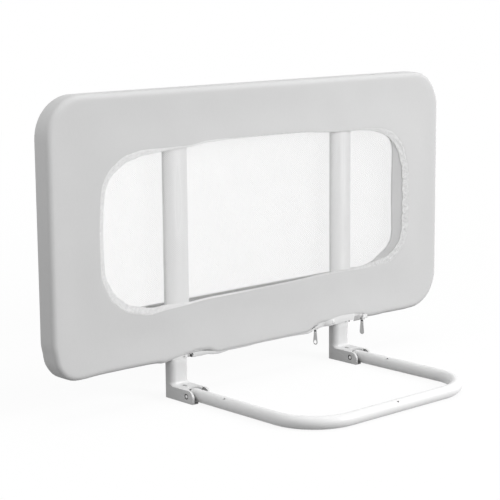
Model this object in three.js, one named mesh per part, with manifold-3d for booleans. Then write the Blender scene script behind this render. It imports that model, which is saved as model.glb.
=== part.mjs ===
// Folding bed guard rail: a fabric-covered frame panel on two hinged legs, with a U-shaped base bar.
// Millimetres, +Z up, +X along the panel, -Y towards the bed. The floor is z = 0.
import * as THREE from "three";
import { mergeVertices } from "three/addons/utils/BufferGeometryUtils.js";
import Module from "manifold-3d";

const wasm = await Module();
wasm.setup();

// Fits that every piece shares
const GAP = 0.3;
const CUT_OVERRUN = 4;

// Panel cover
const PANEL_W = 1000;
const PANEL_H = 500;
const PANEL_T = 46;
const PANEL_LIFT = 73.5;
const PANEL_R = 75;
const RIM_R = 10;
const FABRIC = 1.2;

// Window in both faces, measured from the panel's underside
const WINDOW_W = 806;
const WINDOW_H = 306;
const WINDOW_SILL = 96;
const WINDOW_R = 74;
const BINDING_W = 8;
const NET_T = 0.9;
const NET_STRAND = 3;
const NET_COLUMNS = 21;
const NET_ROWS = 3;

// Zip along the underside
const ZIP_SLIT = 9;
const ZIP_BEAD_W = 5.6;
const ZIP_BEAD_H = 2.4;
const ZIP_LEFT_LEG_REACH = 31;
const ZIP_BEFORE_ARCH = 3;
const ZIP_AFTER_ARCH = 1;
const SLIDER_L = 9;
const SLIDER_WALL = 1.1;
const LUG_R = 2.4;
const LUG_HOLE_R = 1.3;
const LUG_T = 1.6;
const LUG_DROP = 2.6;
const PULL_W = 12;
const PULL_L = 29;
const PULL_T = 1.2;
const PULL_NECK_W = 7.6;
const PULL_EYE_W = 4;
const PULL_EYE_H = 3;
const PULL_RING_HOLE_R = 3.8;

// Flat-oval frame tube
const RAIL_H = 20;
const RAIL_WALL = 1.5;
const JOINER_L = 84;
const JOINER_WALL = 2;
const RIVET_R = 2;
const RIVET_HEAD_R = 3.8;
const RIVET_HEAD_T = 1.1;
const RIVET_INSET = 24;

// Upright posts
const LEG_SPREAD = 430;
const POST_W = 57;
const POST_D = 18.5;
const POST_WALL = 1.6;
const PLUG_L = 30;
const PLUG_BOSS_R = 4;
const PLUG_BOSS_H = 8;

// Hinge bracket: neck, arm with two ears, spigot
const NECK_W = 44;
const NECK_D = 18;
const NECK_TOP = 72;
const NECK_R = 13;
const SPIGOT_W = 38;
const SPIGOT_D = 10;
const SPIGOT_GRIP = 46;
const ARM_REACH = 81;
const ARM_H = 24;
const EAR_T = 4.5;
const EAR_R = 14;
const TOE_R = 2;
const NECK_FILLET = 7;
const ROOF_T = 4;
const ARM_POCKET_BACK = 3.4;
const LIP_H = 3.2;
const LIP_INNER = 8;
const LIP_INSET = 1.2;
const ROOF_CLEARANCE = 2;
const COUNTERBORE_R = 5.2;
const COUNTERBORE_DEPTH = 1.8;
const SCREW_R = 1.2;
const SCREW_HEAD_R = 1.9;
const SCREW_HEAD_T = 1.1;
const SCREW_L = 8;
const SCREW_SIDE = 9.4;
const SCREW_LIFT = 3.8;

// Hem of the cover where the legs come out
const LEG_SLOT_SIDE = 3;
const ARCH_LEFT = 62;
const ARCH_RIGHT = 60;
const ARCH_RISE = 16;
const ARCH_STEPS = 12;

// Base bar and its pivots
const TUBE_R = 12;
const TUBE_WALL = 1.5;
const TUBE_LIFT = 0.5;
const BAR_REACH = 370.5;
const BEND_R = 90;
const PIVOT_REACH = 62.5;
const PIN_R = 2.8;
const PIN_HEAD_R = 3.5;
const PIN_HEAD_T = 1.2;
const SPACER_R = 6.6;
const END_COLLAR_L = 6.5;
const END_SPIGOT_L = 24;
const DIMPLE_R = 3;
const DIMPLE_DEPTH = 1.8;
const HOLE_R = 2.1;
const LEG_HOLE_REACH = 150;
const LEG_HOLE_TILT = 30;
const FRONT_HOLE_X = -8;
const FRONT_HOLE_TILT = 35;

// Fold lock button in the arm's roof
const BUTTON_L = 10.6;
const BUTTON_W = 4.4;
const BUTTON_REACH = 33;
const BUTTON_PROUD = 0.6;
const BUTTON_FLANGE = 1.6;
const BUTTON_FLANGE_T = 2;
const BLOCK_W = 8.4;
const BLOCK_L = 11;
const BLOCK_BOTTOM = 9.8;
const NOSE_W = 4.6;
const NOSE_H = 4;
const NOSE_SHORT = 0.6;
const SEAT_BAR_L = 10;
const SEAT_BAR_H = 3;
const SPRING_R = 2.8;
const SPRING_WIRE_R = 0.45;
const SPRING_TURNS = 3.5;

// Facets
const ROUND_STEPS = 16;
const CORNER_STEPS = 6;
const SECTION_STEPS = 4;
const RIM_STEPS = 3;
const BEND_STEPS = 9;
const SMALL_ROUND_STEPS = 12;
const RIVET_STEPS = 8;
const SPRING_STEPS = 8;
const SPRING_WIRE_STEPS = 3;
const MERGE_TOLERANCE = 1e-4;

// Places worked out from the sizes
const HALF_T = PANEL_T / 2;
const LEG_X = LEG_SPREAD / 2;
const RAIL_D = PANEL_T - 2 * (FABRIC + GAP);
const RAIL_INSET = FABRIC + GAP + RAIL_H / 2;
const RAIL_R = PANEL_R - RAIL_INSET;
const RAIL_UNDERSIDE = PANEL_LIFT + FABRIC + GAP;
const PANEL_TOP = PANEL_LIFT + PANEL_H;
const PANEL_MID = PANEL_LIFT + PANEL_H / 2;
const POST_FRONT = -RAIL_D / 2;
const LEG_Y = POST_FRONT + POST_D / 2;
const POST_FOOT = NECK_TOP + GAP;
const POST_TOP = PANEL_TOP - FABRIC - GAP - RAIL_H - GAP;
const TUBE_Z = TUBE_R + TUBE_LIFT;
const PIVOT_Y = -PIVOT_REACH;
const ZIP_MIDDLE_START = -LEG_X + ZIP_LEFT_LEG_REACH;
const ZIP_MIDDLE_END = LEG_X - ARCH_LEFT - ZIP_BEFORE_ARCH;
const ZIP_RIGHT_START = LEG_X + ARCH_RIGHT + ZIP_AFTER_ARCH;
const ZIP_RIGHT_END = PANEL_W / 2 - PANEL_R;
const NECK_FRONT = LEG_Y - NECK_D / 2;
const NECK_BACK = LEG_Y + NECK_D / 2;
const EAR_INNER = NECK_W / 2 - EAR_T;
const BUTTON_Y = -BUTTON_REACH;
const WINDOW_MID = PANEL_LIFT + WINDOW_SILL + WINDOW_H / 2;
const BORE_R = PIN_R + GAP;
const MODEL_SHIFT_Y = (BAR_REACH + TUBE_R - HALF_T) / 2;

// Materials
const fabricGrey = new THREE.MeshStandardMaterial({ color: 0xd6d6d7, roughness: 0.95, metalness: 0 });
const netWhite = new THREE.MeshStandardMaterial({ color: 0xf2f2f2, roughness: 0.9, metalness: 0 });
const bindingGrey = new THREE.MeshStandardMaterial({ color: 0xdcdcdc, roughness: 0.95, metalness: 0 });
const paintedWhite = new THREE.MeshStandardMaterial({ color: 0xe6e6e6, roughness: 0.4, metalness: 0 });
const zipWhite = new THREE.MeshStandardMaterial({ color: 0xededed, roughness: 0.6, metalness: 0 });
const zincGrey = new THREE.MeshStandardMaterial({ color: 0xb8b8ba, roughness: 0.35, metalness: 0.8 });
const steelGrey = new THREE.MeshStandardMaterial({ color: 0xc4c4c6, roughness: 0.3, metalness: 1 });
const plasticGrey = new THREE.MeshStandardMaterial({ color: 0xc9cacb, roughness: 0.5, metalness: 0 });

// Solids: a closed geometry becomes a solid that can be joined and cut
function toSolid(geometry) {
  const plain = geometry.clone();
  plain.deleteAttribute("normal");
  plain.deleteAttribute("uv");
  const merged = mergeVertices(plain, MERGE_TOLERANCE);
  const corners = merged.index.array;
  const kept = [];
  for (let i = 0; i < corners.length; i += 3) {
    const [a, b, c] = corners.slice(i, i + 3);
    if (a !== b && b !== c && c !== a) kept.push(a, b, c);
  }
  return new wasm.Manifold(
    new wasm.Mesh({
      numProp: 3,
      vertProperties: new Float32Array(merged.attributes.position.array),
      triVerts: new Uint32Array(kept),
    }),
  );
}

function toGeometry(solid) {
  const mesh = solid.getMesh();
  const geometry = new THREE.BufferGeometry();
  geometry.setAttribute("position", new THREE.BufferAttribute(mesh.vertProperties, 3));
  geometry.setIndex(new THREE.BufferAttribute(mesh.triVerts, 1));
  const flat = geometry.toNonIndexed();
  flat.computeVertexNormals();
  return flat;
}

function cut(solid, ...tools) {
  return tools.reduce((rest, tool) => rest.subtract(toSolid(tool)), solid);
}

function join(solid, ...others) {
  return others.reduce((sum, other) => sum.add(toSolid(other)), solid);
}

// Outlines
function roundedRect(width, height, radius) {
  const x = width / 2;
  const y = height / 2;
  const r = Math.min(radius, x, y);
  const shape = new THREE.Shape();
  shape.absarc(x - r, y - r, r, 0, Math.PI / 2);
  shape.absarc(-x + r, y - r, r, Math.PI / 2, Math.PI);
  shape.absarc(-x + r, -y + r, r, Math.PI, (3 * Math.PI) / 2);
  shape.absarc(x - r, -y + r, r, (3 * Math.PI) / 2, 2 * Math.PI);
  shape.closePath();
  return shape;
}

// A flat oval: two half rounds joined by straight sides along X.
function flatOval(width, depth) {
  const r = depth / 2;
  const x = width / 2 - r;
  const shape = new THREE.Shape();
  shape.absarc(x, 0, r, -Math.PI / 2, Math.PI / 2);
  shape.absarc(-x, 0, r, Math.PI / 2, (3 * Math.PI) / 2);
  shape.closePath();
  return shape;
}

function circle(radius) {
  return new THREE.Shape().absarc(0, 0, radius, 0, 2 * Math.PI);
}

function pierced(shape, ...holes) {
  holes.forEach((hole) => shape.holes.push(hole));
  return shape;
}

// Extrusions, each named for the way it runs
function upright(shape, bottom, top, steps = SECTION_STEPS) {
  const geometry = new THREE.ExtrudeGeometry(shape, {
    depth: top - bottom,
    bevelEnabled: false,
    curveSegments: steps,
  });
  return geometry.translate(0, 0, bottom);
}

// A sheet that stands in the panel's plane: the outline's x and y become X and Z.
function sheet(shape, front, back, steps = CORNER_STEPS) {
  const geometry = new THREE.ExtrudeGeometry(shape, {
    depth: back - front,
    bevelEnabled: false,
    curveSegments: steps,
  });
  return geometry.rotateX(Math.PI / 2).translate(0, back, 0);
}

// A side view run across X: the outline's x and y become Y and Z.
function across(shape, left, right, steps = CORNER_STEPS) {
  const geometry = new THREE.ExtrudeGeometry(shape, {
    depth: right - left,
    bevelEnabled: false,
    curveSegments: steps,
  });
  const turn = new THREE.Matrix4().makeBasis(
    new THREE.Vector3(0, 1, 0),
    new THREE.Vector3(0, 0, 1),
    new THREE.Vector3(1, 0, 0),
  );
  return geometry.applyMatrix4(turn).translate(left, 0, 0);
}

function block(xRange, yRange, zRange) {
  const size = [xRange, yRange, zRange].map(([low, high]) => high - low);
  const middle = [xRange, yRange, zRange].map(([low, high]) => (low + high) / 2);
  return new THREE.BoxGeometry(...size).translate(...middle);
}

function rodX(radius, left, right, y, z, steps = ROUND_STEPS) {
  const rod = new THREE.CylinderGeometry(radius, radius, right - left, steps);
  return rod.rotateZ(Math.PI / 2).translate((left + right) / 2, y, z);
}

function rodY(radius, front, back, x, z, steps = ROUND_STEPS) {
  const rod = new THREE.CylinderGeometry(radius, radius, back - front, steps);
  return rod.translate(x, (front + back) / 2, z);
}

// A path of straight runs and bends. A run takes one step, so the facets go where the bends are.
class BentPath extends THREE.Curve {
  constructor(stations) {
    super();
    this.stations = stations;
  }

  get steps() {
    return this.stations.length - 1;
  }

  getPoint(t, target = new THREE.Vector3()) {
    const place = Math.min(t * this.steps, this.steps);
    const before = Math.min(Math.floor(place), this.steps - 1);
    const { point: from } = this.stations[before];
    const { point: to } = this.stations[before + 1];
    return target.copy(from).lerp(to, place - before);
  }

  getPointAt(u, target) {
    return this.getPoint(u, target);
  }

  getTangent(t, target = new THREE.Vector3()) {
    const nearest = Math.round(t * this.steps);
    return target.copy(this.stations[nearest].tangent);
  }

  getTangentAt(u, target) {
    return this.getTangent(u, target);
  }
}

// Stations of a path through the corners given, each bend an arc of the radius given.
function bentPath(corners, radius, bendSteps) {
  const runs = corners.slice(1).map((end, i) => end.clone().sub(corners[i]).normalize());
  const stations = [{ point: corners[0], tangent: runs[0] }];
  for (let i = 1; i < corners.length - 1; i += 1) {
    const into = runs[i - 1];
    const out = runs[i];
    const turn = into.angleTo(out);
    const reach = radius * Math.tan(turn / 2);
    const start = corners[i].clone().addScaledVector(into, -reach);
    const inward = out.clone().addScaledVector(into, -into.dot(out)).normalize();
    for (let step = 0; step <= bendSteps; step += 1) {
      const angle = (turn * step) / bendSteps;
      const point = start
        .clone()
        .addScaledVector(into, radius * Math.sin(angle))
        .addScaledVector(inward, radius * (1 - Math.cos(angle)));
      const tangent = into
        .clone()
        .multiplyScalar(Math.cos(angle))
        .addScaledVector(inward, Math.sin(angle));
      stations.push({ point, tangent });
    }
  }
  stations.push({ point: corners[corners.length - 1], tangent: runs[runs.length - 1] });
  return new BentPath(stations);
}

function tubeAlong(path, section, sectionSteps) {
  return new THREE.ExtrudeGeometry(section, {
    steps: path.steps,
    extrudePath: path,
    curveSegments: sectionSteps,
  });
}

// Every piece is a named mesh in the group
const guardRail = new THREE.Group();

function addPiece(name, shape, material) {
  const solid = shape instanceof THREE.BufferGeometry ? toSolid(shape) : shape;
  const mesh = new THREE.Mesh(toGeometry(solid), material.clone());
  mesh.name = name;
  guardRail.add(mesh);
}

const SIDES = [
  { side: "left", x: -LEG_X },
  { side: "right", x: LEG_X },
];

// Fabric cover: a front shell that wraps the rim, and a back sheet sewn to it
function roundedSlab(inset) {
  const edge = RIM_R - inset;
  const face = roundedRect(PANEL_W - 2 * RIM_R, PANEL_H - 2 * RIM_R, PANEL_R - RIM_R);
  const geometry = new THREE.ExtrudeGeometry(face, {
    depth: PANEL_T - 2 * RIM_R,
    bevelEnabled: true,
    bevelThickness: edge,
    bevelSize: edge,
    bevelSegments: RIM_STEPS,
    curveSegments: CORNER_STEPS,
  });
  return geometry.rotateX(Math.PI / 2).translate(0, HALF_T - RIM_R, PANEL_MID);
}

function windowShape(inset) {
  return roundedRect(WINDOW_W - 2 * inset, WINDOW_H - 2 * inset, WINDOW_R - inset);
}

function windowPlug(front, back) {
  return sheet(windowShape(0), front, back).translate(0, 0, WINDOW_MID);
}

function legSlot(x) {
  const reach = POST_W / 2 + LEG_SLOT_SIDE;
  const back = LEG_Y + POST_D / 2 + LEG_SLOT_SIDE;
  return block(
    [x - reach, x + reach],
    [-HALF_T - CUT_OVERRUN, back],
    [PANEL_LIFT - CUT_OVERRUN, PANEL_LIFT + RIM_R + GAP],
  );
}

// The front hem rides up over the right leg in a low arch.
function hemArch(x) {
  const arch = new THREE.Shape();
  const below = PANEL_LIFT - CUT_OVERRUN;
  arch.moveTo(x - ARCH_LEFT, below);
  for (let step = 0; step <= ARCH_STEPS; step += 1) {
    const share = (2 * step) / ARCH_STEPS - 1;
    const reach = share < 0 ? ARCH_LEFT : ARCH_RIGHT;
    const rise = ARCH_RISE * Math.cos((share * Math.PI) / 2);
    arch.lineTo(x + share * reach, PANEL_LIFT + rise);
  }
  arch.lineTo(x + ARCH_RIGHT, below);
  arch.closePath();
  return sheet(arch, -HALF_T - CUT_OVERRUN, -HALF_T + RIM_R);
}

function zipSlit(start, end) {
  return block(
    [start, end],
    [LEG_Y - ZIP_SLIT / 2, LEG_Y + ZIP_SLIT / 2],
    [PANEL_LIFT - CUT_OVERRUN, PANEL_LIFT + FABRIC + GAP],
  );
}

function coverFront() {
  const backFace = sheet(
    roundedRect(PANEL_W - 2 * RIM_R, PANEL_H - 2 * RIM_R, PANEL_R - RIM_R),
    HALF_T - FABRIC - GAP,
    HALF_T + CUT_OVERRUN,
  ).translate(0, 0, PANEL_MID);
  return cut(
    toSolid(roundedSlab(0)),
    roundedSlab(FABRIC),
    backFace,
    windowPlug(-HALF_T - CUT_OVERRUN, 0),
    zipSlit(ZIP_MIDDLE_START, ZIP_MIDDLE_END),
    zipSlit(ZIP_RIGHT_START, ZIP_RIGHT_END),
    ...SIDES.map(({ x }) => legSlot(x)),
    hemArch(LEG_X),
  );
}

function coverBack() {
  const seam = RIM_R + GAP;
  const face = sheet(
    roundedRect(PANEL_W - 2 * seam, PANEL_H - 2 * seam, PANEL_R - seam),
    HALF_T - FABRIC,
    HALF_T,
  ).translate(0, 0, PANEL_MID);
  return cut(toSolid(face), windowPlug(0, HALF_T + CUT_OVERRUN));
}

// Window net: a lattice of diamond gaps inside a plain edge
function diamond(x, y, halfWidth, halfHeight) {
  const hole = new THREE.Path();
  hole.moveTo(x + halfWidth, y);
  hole.lineTo(x, y + halfHeight);
  hole.lineTo(x - halfWidth, y);
  hole.lineTo(x, y - halfHeight);
  hole.closePath();
  return hole;
}

function insideRoundedRect(x, y, width, height, radius) {
  const beyondX = Math.max(Math.abs(x) - (width / 2 - radius), 0);
  const beyondY = Math.max(Math.abs(y) - (height / 2 - radius), 0);
  return Math.hypot(beyondX, beyondY) <= radius;
}

function windowNet(front) {
  const inset = BINDING_W + GAP;
  const outline = windowShape(inset);
  const width = WINDOW_W - 2 * (inset + NET_STRAND);
  const height = WINDOW_H - 2 * (inset + NET_STRAND);
  const radius = WINDOW_R - inset - NET_STRAND;
  const pitchX = width / NET_COLUMNS;
  const pitchY = height / NET_ROWS;
  const halfWidth = (pitchX - NET_STRAND) / 2;
  const halfHeight = (pitchY - NET_STRAND) / 2;
  for (let row = 1; row < 2 * NET_ROWS; row += 1) {
    for (let column = row % 2 ? 1 : 2; column < 2 * NET_COLUMNS; column += 2) {
      const x = (column * pitchX - width) / 2;
      const y = (row * pitchY - height) / 2;
      const tips = [
        [x + halfWidth, y],
        [x - halfWidth, y],
        [x, y + halfHeight],
        [x, y - halfHeight],
      ];
      if (tips.every(([tipX, tipY]) => insideRoundedRect(tipX, tipY, width, height, radius))) {
        pierced(outline, diamond(x, y, halfWidth, halfHeight));
      }
    }
  }
  return sheet(outline, front, front + NET_T).translate(0, 0, WINDOW_MID);
}

function windowBinding(front) {
  const ring = pierced(windowShape(GAP), windowShape(BINDING_W));
  return sheet(ring, front, front + FABRIC).translate(0, 0, WINDOW_MID);
}

// Zip: a tape in the slit with a raised bead of closed teeth under it
function zipTape(start, end) {
  const tape = ZIP_SLIT / 2 - GAP;
  const bead = ZIP_BEAD_W / 2;
  const profile = new THREE.Shape();
  profile.moveTo(-tape, FABRIC);
  profile.lineTo(-tape, 0);
  profile.lineTo(-bead, 0);
  profile.lineTo(-bead, -ZIP_BEAD_H);
  profile.lineTo(bead, -ZIP_BEAD_H);
  profile.lineTo(bead, 0);
  profile.lineTo(tape, 0);
  profile.lineTo(tape, FABRIC);
  profile.closePath();
  return across(profile, start + GAP, end - GAP).translate(0, LEG_Y, PANEL_LIFT);
}

// Slider: a channel that runs on the bead, with a lug for the pull
const SLIDER_TOP = -GAP;
const SLIDER_FLOOR = -ZIP_BEAD_H - GAP;
const SLIDER_BOTTOM = SLIDER_FLOOR - SLIDER_WALL;
const HINGE_DROP = SLIDER_BOTTOM - LUG_DROP;

function zipSlider(x, hasLug) {
  const inner = ZIP_BEAD_W / 2 + GAP;
  const outer = inner + SLIDER_WALL;
  const channel = new THREE.Shape();
  channel.moveTo(-outer, SLIDER_TOP);
  channel.lineTo(-outer, SLIDER_BOTTOM);
  channel.lineTo(outer, SLIDER_BOTTOM);
  channel.lineTo(outer, SLIDER_TOP);
  channel.lineTo(inner, SLIDER_TOP);
  channel.lineTo(inner, SLIDER_FLOOR);
  channel.lineTo(-inner, SLIDER_FLOOR);
  channel.lineTo(-inner, SLIDER_TOP);
  channel.closePath();
  let slider = toSolid(across(channel, -SLIDER_L / 2, SLIDER_L / 2));
  if (hasLug) {
    const lug = new THREE.Shape();
    const root = SLIDER_BOTTOM + SLIDER_WALL / 2;
    lug.moveTo(LUG_R, root);
    lug.lineTo(-LUG_R, root);
    lug.lineTo(-LUG_R, HINGE_DROP);
    lug.absarc(0, HINGE_DROP, LUG_R, Math.PI, 2 * Math.PI);
    lug.closePath();
    const hole = new THREE.Path().absarc(0, HINGE_DROP, LUG_HOLE_R, 0, 2 * Math.PI);
    slider = join(slider, sheet(pierced(lug, hole), -LUG_T / 2, LUG_T / 2));
  }
  return slider.translate(x, LEG_Y, PANEL_LIFT);
}

// Pull: hangs in the plane across the zip, on a bar through the lug
function zipPull(x, hasRing) {
  const neck = PULL_NECK_W / 2;
  const tip = PULL_W / 2;
  const top = PULL_T / 2;
  const outline = new THREE.Shape();
  outline.moveTo(-neck, top);
  outline.lineTo(-neck, top - PULL_EYE_H - 2 * PULL_T);
  outline.lineTo(-tip, -PULL_L + tip);
  outline.absarc(0, -PULL_L + tip, tip, Math.PI, 2 * Math.PI);
  outline.lineTo(neck, top - PULL_EYE_H - 2 * PULL_T);
  outline.lineTo(neck, top);
  outline.closePath();
  const eye = new THREE.Path();
  const eyeTop = -PULL_T / 2;
  eye.moveTo(-PULL_EYE_W / 2, eyeTop);
  eye.lineTo(PULL_EYE_W / 2, eyeTop);
  eye.lineTo(PULL_EYE_W / 2, eyeTop - PULL_EYE_H);
  eye.lineTo(-PULL_EYE_W / 2, eyeTop - PULL_EYE_H);
  eye.closePath();
  pierced(outline, eye);
  if (hasRing) {
    const ring = new THREE.Path().absarc(0, -PULL_L + tip, PULL_RING_HOLE_R, 0, 2 * Math.PI);
    pierced(outline, ring);
  }
  const tab = across(outline, -PULL_T / 2, PULL_T / 2);
  return tab.translate(x, LEG_Y, PANEL_LIFT + HINGE_DROP);
}

// Frame: two flat-oval U rails, butted at mid height over inner joiners
function railSection(inset) {
  return flatOval(RAIL_D - 2 * inset, RAIL_H - 2 * inset);
}

function uRail(direction) {
  const x = PANEL_W / 2 - RAIL_INSET;
  const far = direction * (PANEL_H / 2 - RAIL_INSET);
  const near = (direction * GAP) / 2;
  const corners = [
    new THREE.Vector3(-x, 0, near),
    new THREE.Vector3(-x, 0, far),
    new THREE.Vector3(x, 0, far),
    new THREE.Vector3(x, 0, near),
  ];
  const section = pierced(railSection(0), railSection(RAIL_WALL));
  const path = bentPath(corners, RAIL_R, CORNER_STEPS);
  return tubeAlong(path, section, SECTION_STEPS).translate(0, 0, PANEL_MID);
}

function rivetHoles(direction) {
  const x = PANEL_W / 2 - RAIL_INSET;
  const z = PANEL_MID + direction * RIVET_INSET;
  const reach = RAIL_H / 2 + CUT_OVERRUN;
  return [-1, 1].map((end) => {
    const [low, high] = end < 0 ? [-x, -x + reach] : [x - reach, x];
    return rodX(RIVET_R + GAP, low, high, 0, z, RIVET_STEPS);
  });
}

function railTop() {
  const underside = PANEL_TOP - FABRIC - GAP - RAIL_H;
  const bossHoles = SIDES.map(({ x }) =>
    upright(
      circle(PLUG_BOSS_R + GAP),
      underside - CUT_OVERRUN,
      underside + RAIL_WALL + CUT_OVERRUN,
      CORNER_STEPS,
    ).translate(x, LEG_Y, 0),
  );
  return cut(toSolid(uRail(1)), ...rivetHoles(1), ...bossHoles);
}

// The posts stand in notches in the front of the bottom rail.
function railBottom() {
  const notches = SIDES.map(({ x }) =>
    upright(
      postSection(-GAP),
      RAIL_UNDERSIDE - CUT_OVERRUN,
      RAIL_UNDERSIDE + RAIL_H + CUT_OVERRUN,
    ).translate(x, LEG_Y, 0),
  );
  return cut(toSolid(uRail(-1)), ...rivetHoles(-1), ...notches);
}

// Joiner: a flat-oval sleeve inside both rail ends, drilled for the rivets
function railJoiner(end) {
  const x = end * (PANEL_W / 2 - RAIL_INSET);
  const outer = RAIL_WALL + GAP;
  const section = pierced(railSection(outer), railSection(outer + JOINER_WALL));
  const sleeve = upright(section, -JOINER_L / 2, JOINER_L / 2)
    .rotateZ(Math.PI / 2)
    .translate(x, 0, PANEL_MID);
  const holes = [-1, 1].map((direction) => rivetHoles(direction)[end < 0 ? 0 : 1]);
  return cut(toSolid(sleeve), ...holes);
}

// Rivet: its head lies on the rail's flat inner side, its shank ends inside the joiner
function joinerRivet(end, direction) {
  const profile = [
    new THREE.Vector2(0, -RAIL_WALL - JOINER_WALL - 2 * GAP),
    new THREE.Vector2(RIVET_R, -RAIL_WALL - JOINER_WALL - 2 * GAP),
    new THREE.Vector2(RIVET_R, GAP),
    new THREE.Vector2(RIVET_HEAD_R, GAP),
    new THREE.Vector2(RIVET_HEAD_R, GAP + RIVET_HEAD_T / 2),
    new THREE.Vector2(RIVET_HEAD_R / 2, GAP + RIVET_HEAD_T),
    new THREE.Vector2(0, GAP + RIVET_HEAD_T),
  ];
  const rivet = new THREE.LatheGeometry(profile, RIVET_STEPS);
  const face = PANEL_W / 2 - RAIL_INSET - RAIL_H / 2;
  return rivet
    .rotateZ((end * Math.PI) / 2)
    .translate(end * face, 0, PANEL_MID + direction * RIVET_INSET);
}

// Posts: flat-oval tubes from the bracket's neck up to the top rail
function postSection(inset) {
  return flatOval(POST_W - 2 * inset, POST_D - 2 * inset);
}

// A screw at the foot of each post goes through its wall and bush into the bracket's spigot.
const SCREW_Z = POST_FOOT + SCREW_LIFT;

function screwHole(x, radius, front, back) {
  return rodY(radius, front, back, x + SCREW_SIDE, SCREW_Z, SMALL_ROUND_STEPS);
}

function post(x) {
  const section = pierced(postSection(0), postSection(POST_WALL));
  const tube = upright(section, POST_FOOT, POST_TOP).translate(x, LEG_Y, 0);
  return cut(toSolid(tube), screwHole(x, SCREW_R + GAP, POST_FRONT - CUT_OVERRUN, LEG_Y));
}

function postScrew(x) {
  const seat = POST_FRONT - GAP;
  const head = screwHole(x, SCREW_HEAD_R, seat - SCREW_HEAD_T, seat);
  const shank = screwHole(x, SCREW_R, seat - SCREW_HEAD_T / 2, POST_FRONT + SCREW_L);
  return join(toSolid(head), shank);
}

function postPlug(x) {
  const body = upright(postSection(POST_WALL + GAP), POST_TOP - PLUG_L, POST_TOP);
  const bossTop = POST_TOP + PLUG_BOSS_H;
  const boss = upright(circle(PLUG_BOSS_R), POST_TOP - PLUG_L / 2, bossTop, CORNER_STEPS);
  return join(toSolid(body), boss).translate(x, LEG_Y, 0);
}

function postBush(x) {
  const socket = flatOval(SPIGOT_W + 2 * GAP, SPIGOT_D + 2 * GAP);
  const section = pierced(postSection(POST_WALL + GAP), socket);
  const bush = upright(section, POST_FOOT, POST_FOOT + SPIGOT_GRIP).translate(x, LEG_Y, 0);
  return cut(toSolid(bush), screwHole(x, SCREW_R + GAP, POST_FRONT, LEG_Y));
}

// Hinge bracket: an L casting. The side view gives neck and arm, the plan view rounds the neck's front,
// and the arm is opened from the front between its ears, under its roof and around the lock button.
function bracketSide() {
  const side = new THREE.Shape();
  side.moveTo(NECK_BACK, 0);
  side.lineTo(NECK_BACK, NECK_TOP);
  side.lineTo(NECK_FRONT, NECK_TOP);
  side.lineTo(NECK_FRONT, ARM_H + NECK_FILLET);
  side.absarc(NECK_FRONT - NECK_FILLET, ARM_H + NECK_FILLET, NECK_FILLET, 0, -Math.PI / 2, true);
  side.absarc(-ARM_REACH + EAR_R, ARM_H - EAR_R, EAR_R, Math.PI / 2, Math.PI);
  side.absarc(-ARM_REACH + TOE_R, TOE_R, TOE_R, Math.PI, (3 * Math.PI) / 2);
  side.closePath();
  return side;
}

// What the two rounded front corners of the neck leave out, above the arm's fillet
function neckCorner(end) {
  const x = (end * NECK_W) / 2;
  const corner = new THREE.Shape();
  const centreX = x - end * NECK_R;
  const centreY = NECK_FRONT + NECK_R;
  const front = NECK_FRONT - NECK_FILLET - CUT_OVERRUN;
  corner.moveTo(x + end * CUT_OVERRUN, centreY);
  corner.lineTo(x, centreY);
  for (let step = 1; step < CORNER_STEPS; step += 1) {
    const angle = (step / CORNER_STEPS) * (Math.PI / 2);
    corner.lineTo(centreX + end * NECK_R * Math.cos(angle), centreY - NECK_R * Math.sin(angle));
  }
  corner.lineTo(centreX, NECK_FRONT);
  corner.lineTo(centreX, front);
  corner.lineTo(x + end * CUT_OVERRUN, front);
  corner.closePath();
  return upright(corner, ARM_H, NECK_TOP + CUT_OVERRUN);
}

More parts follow.
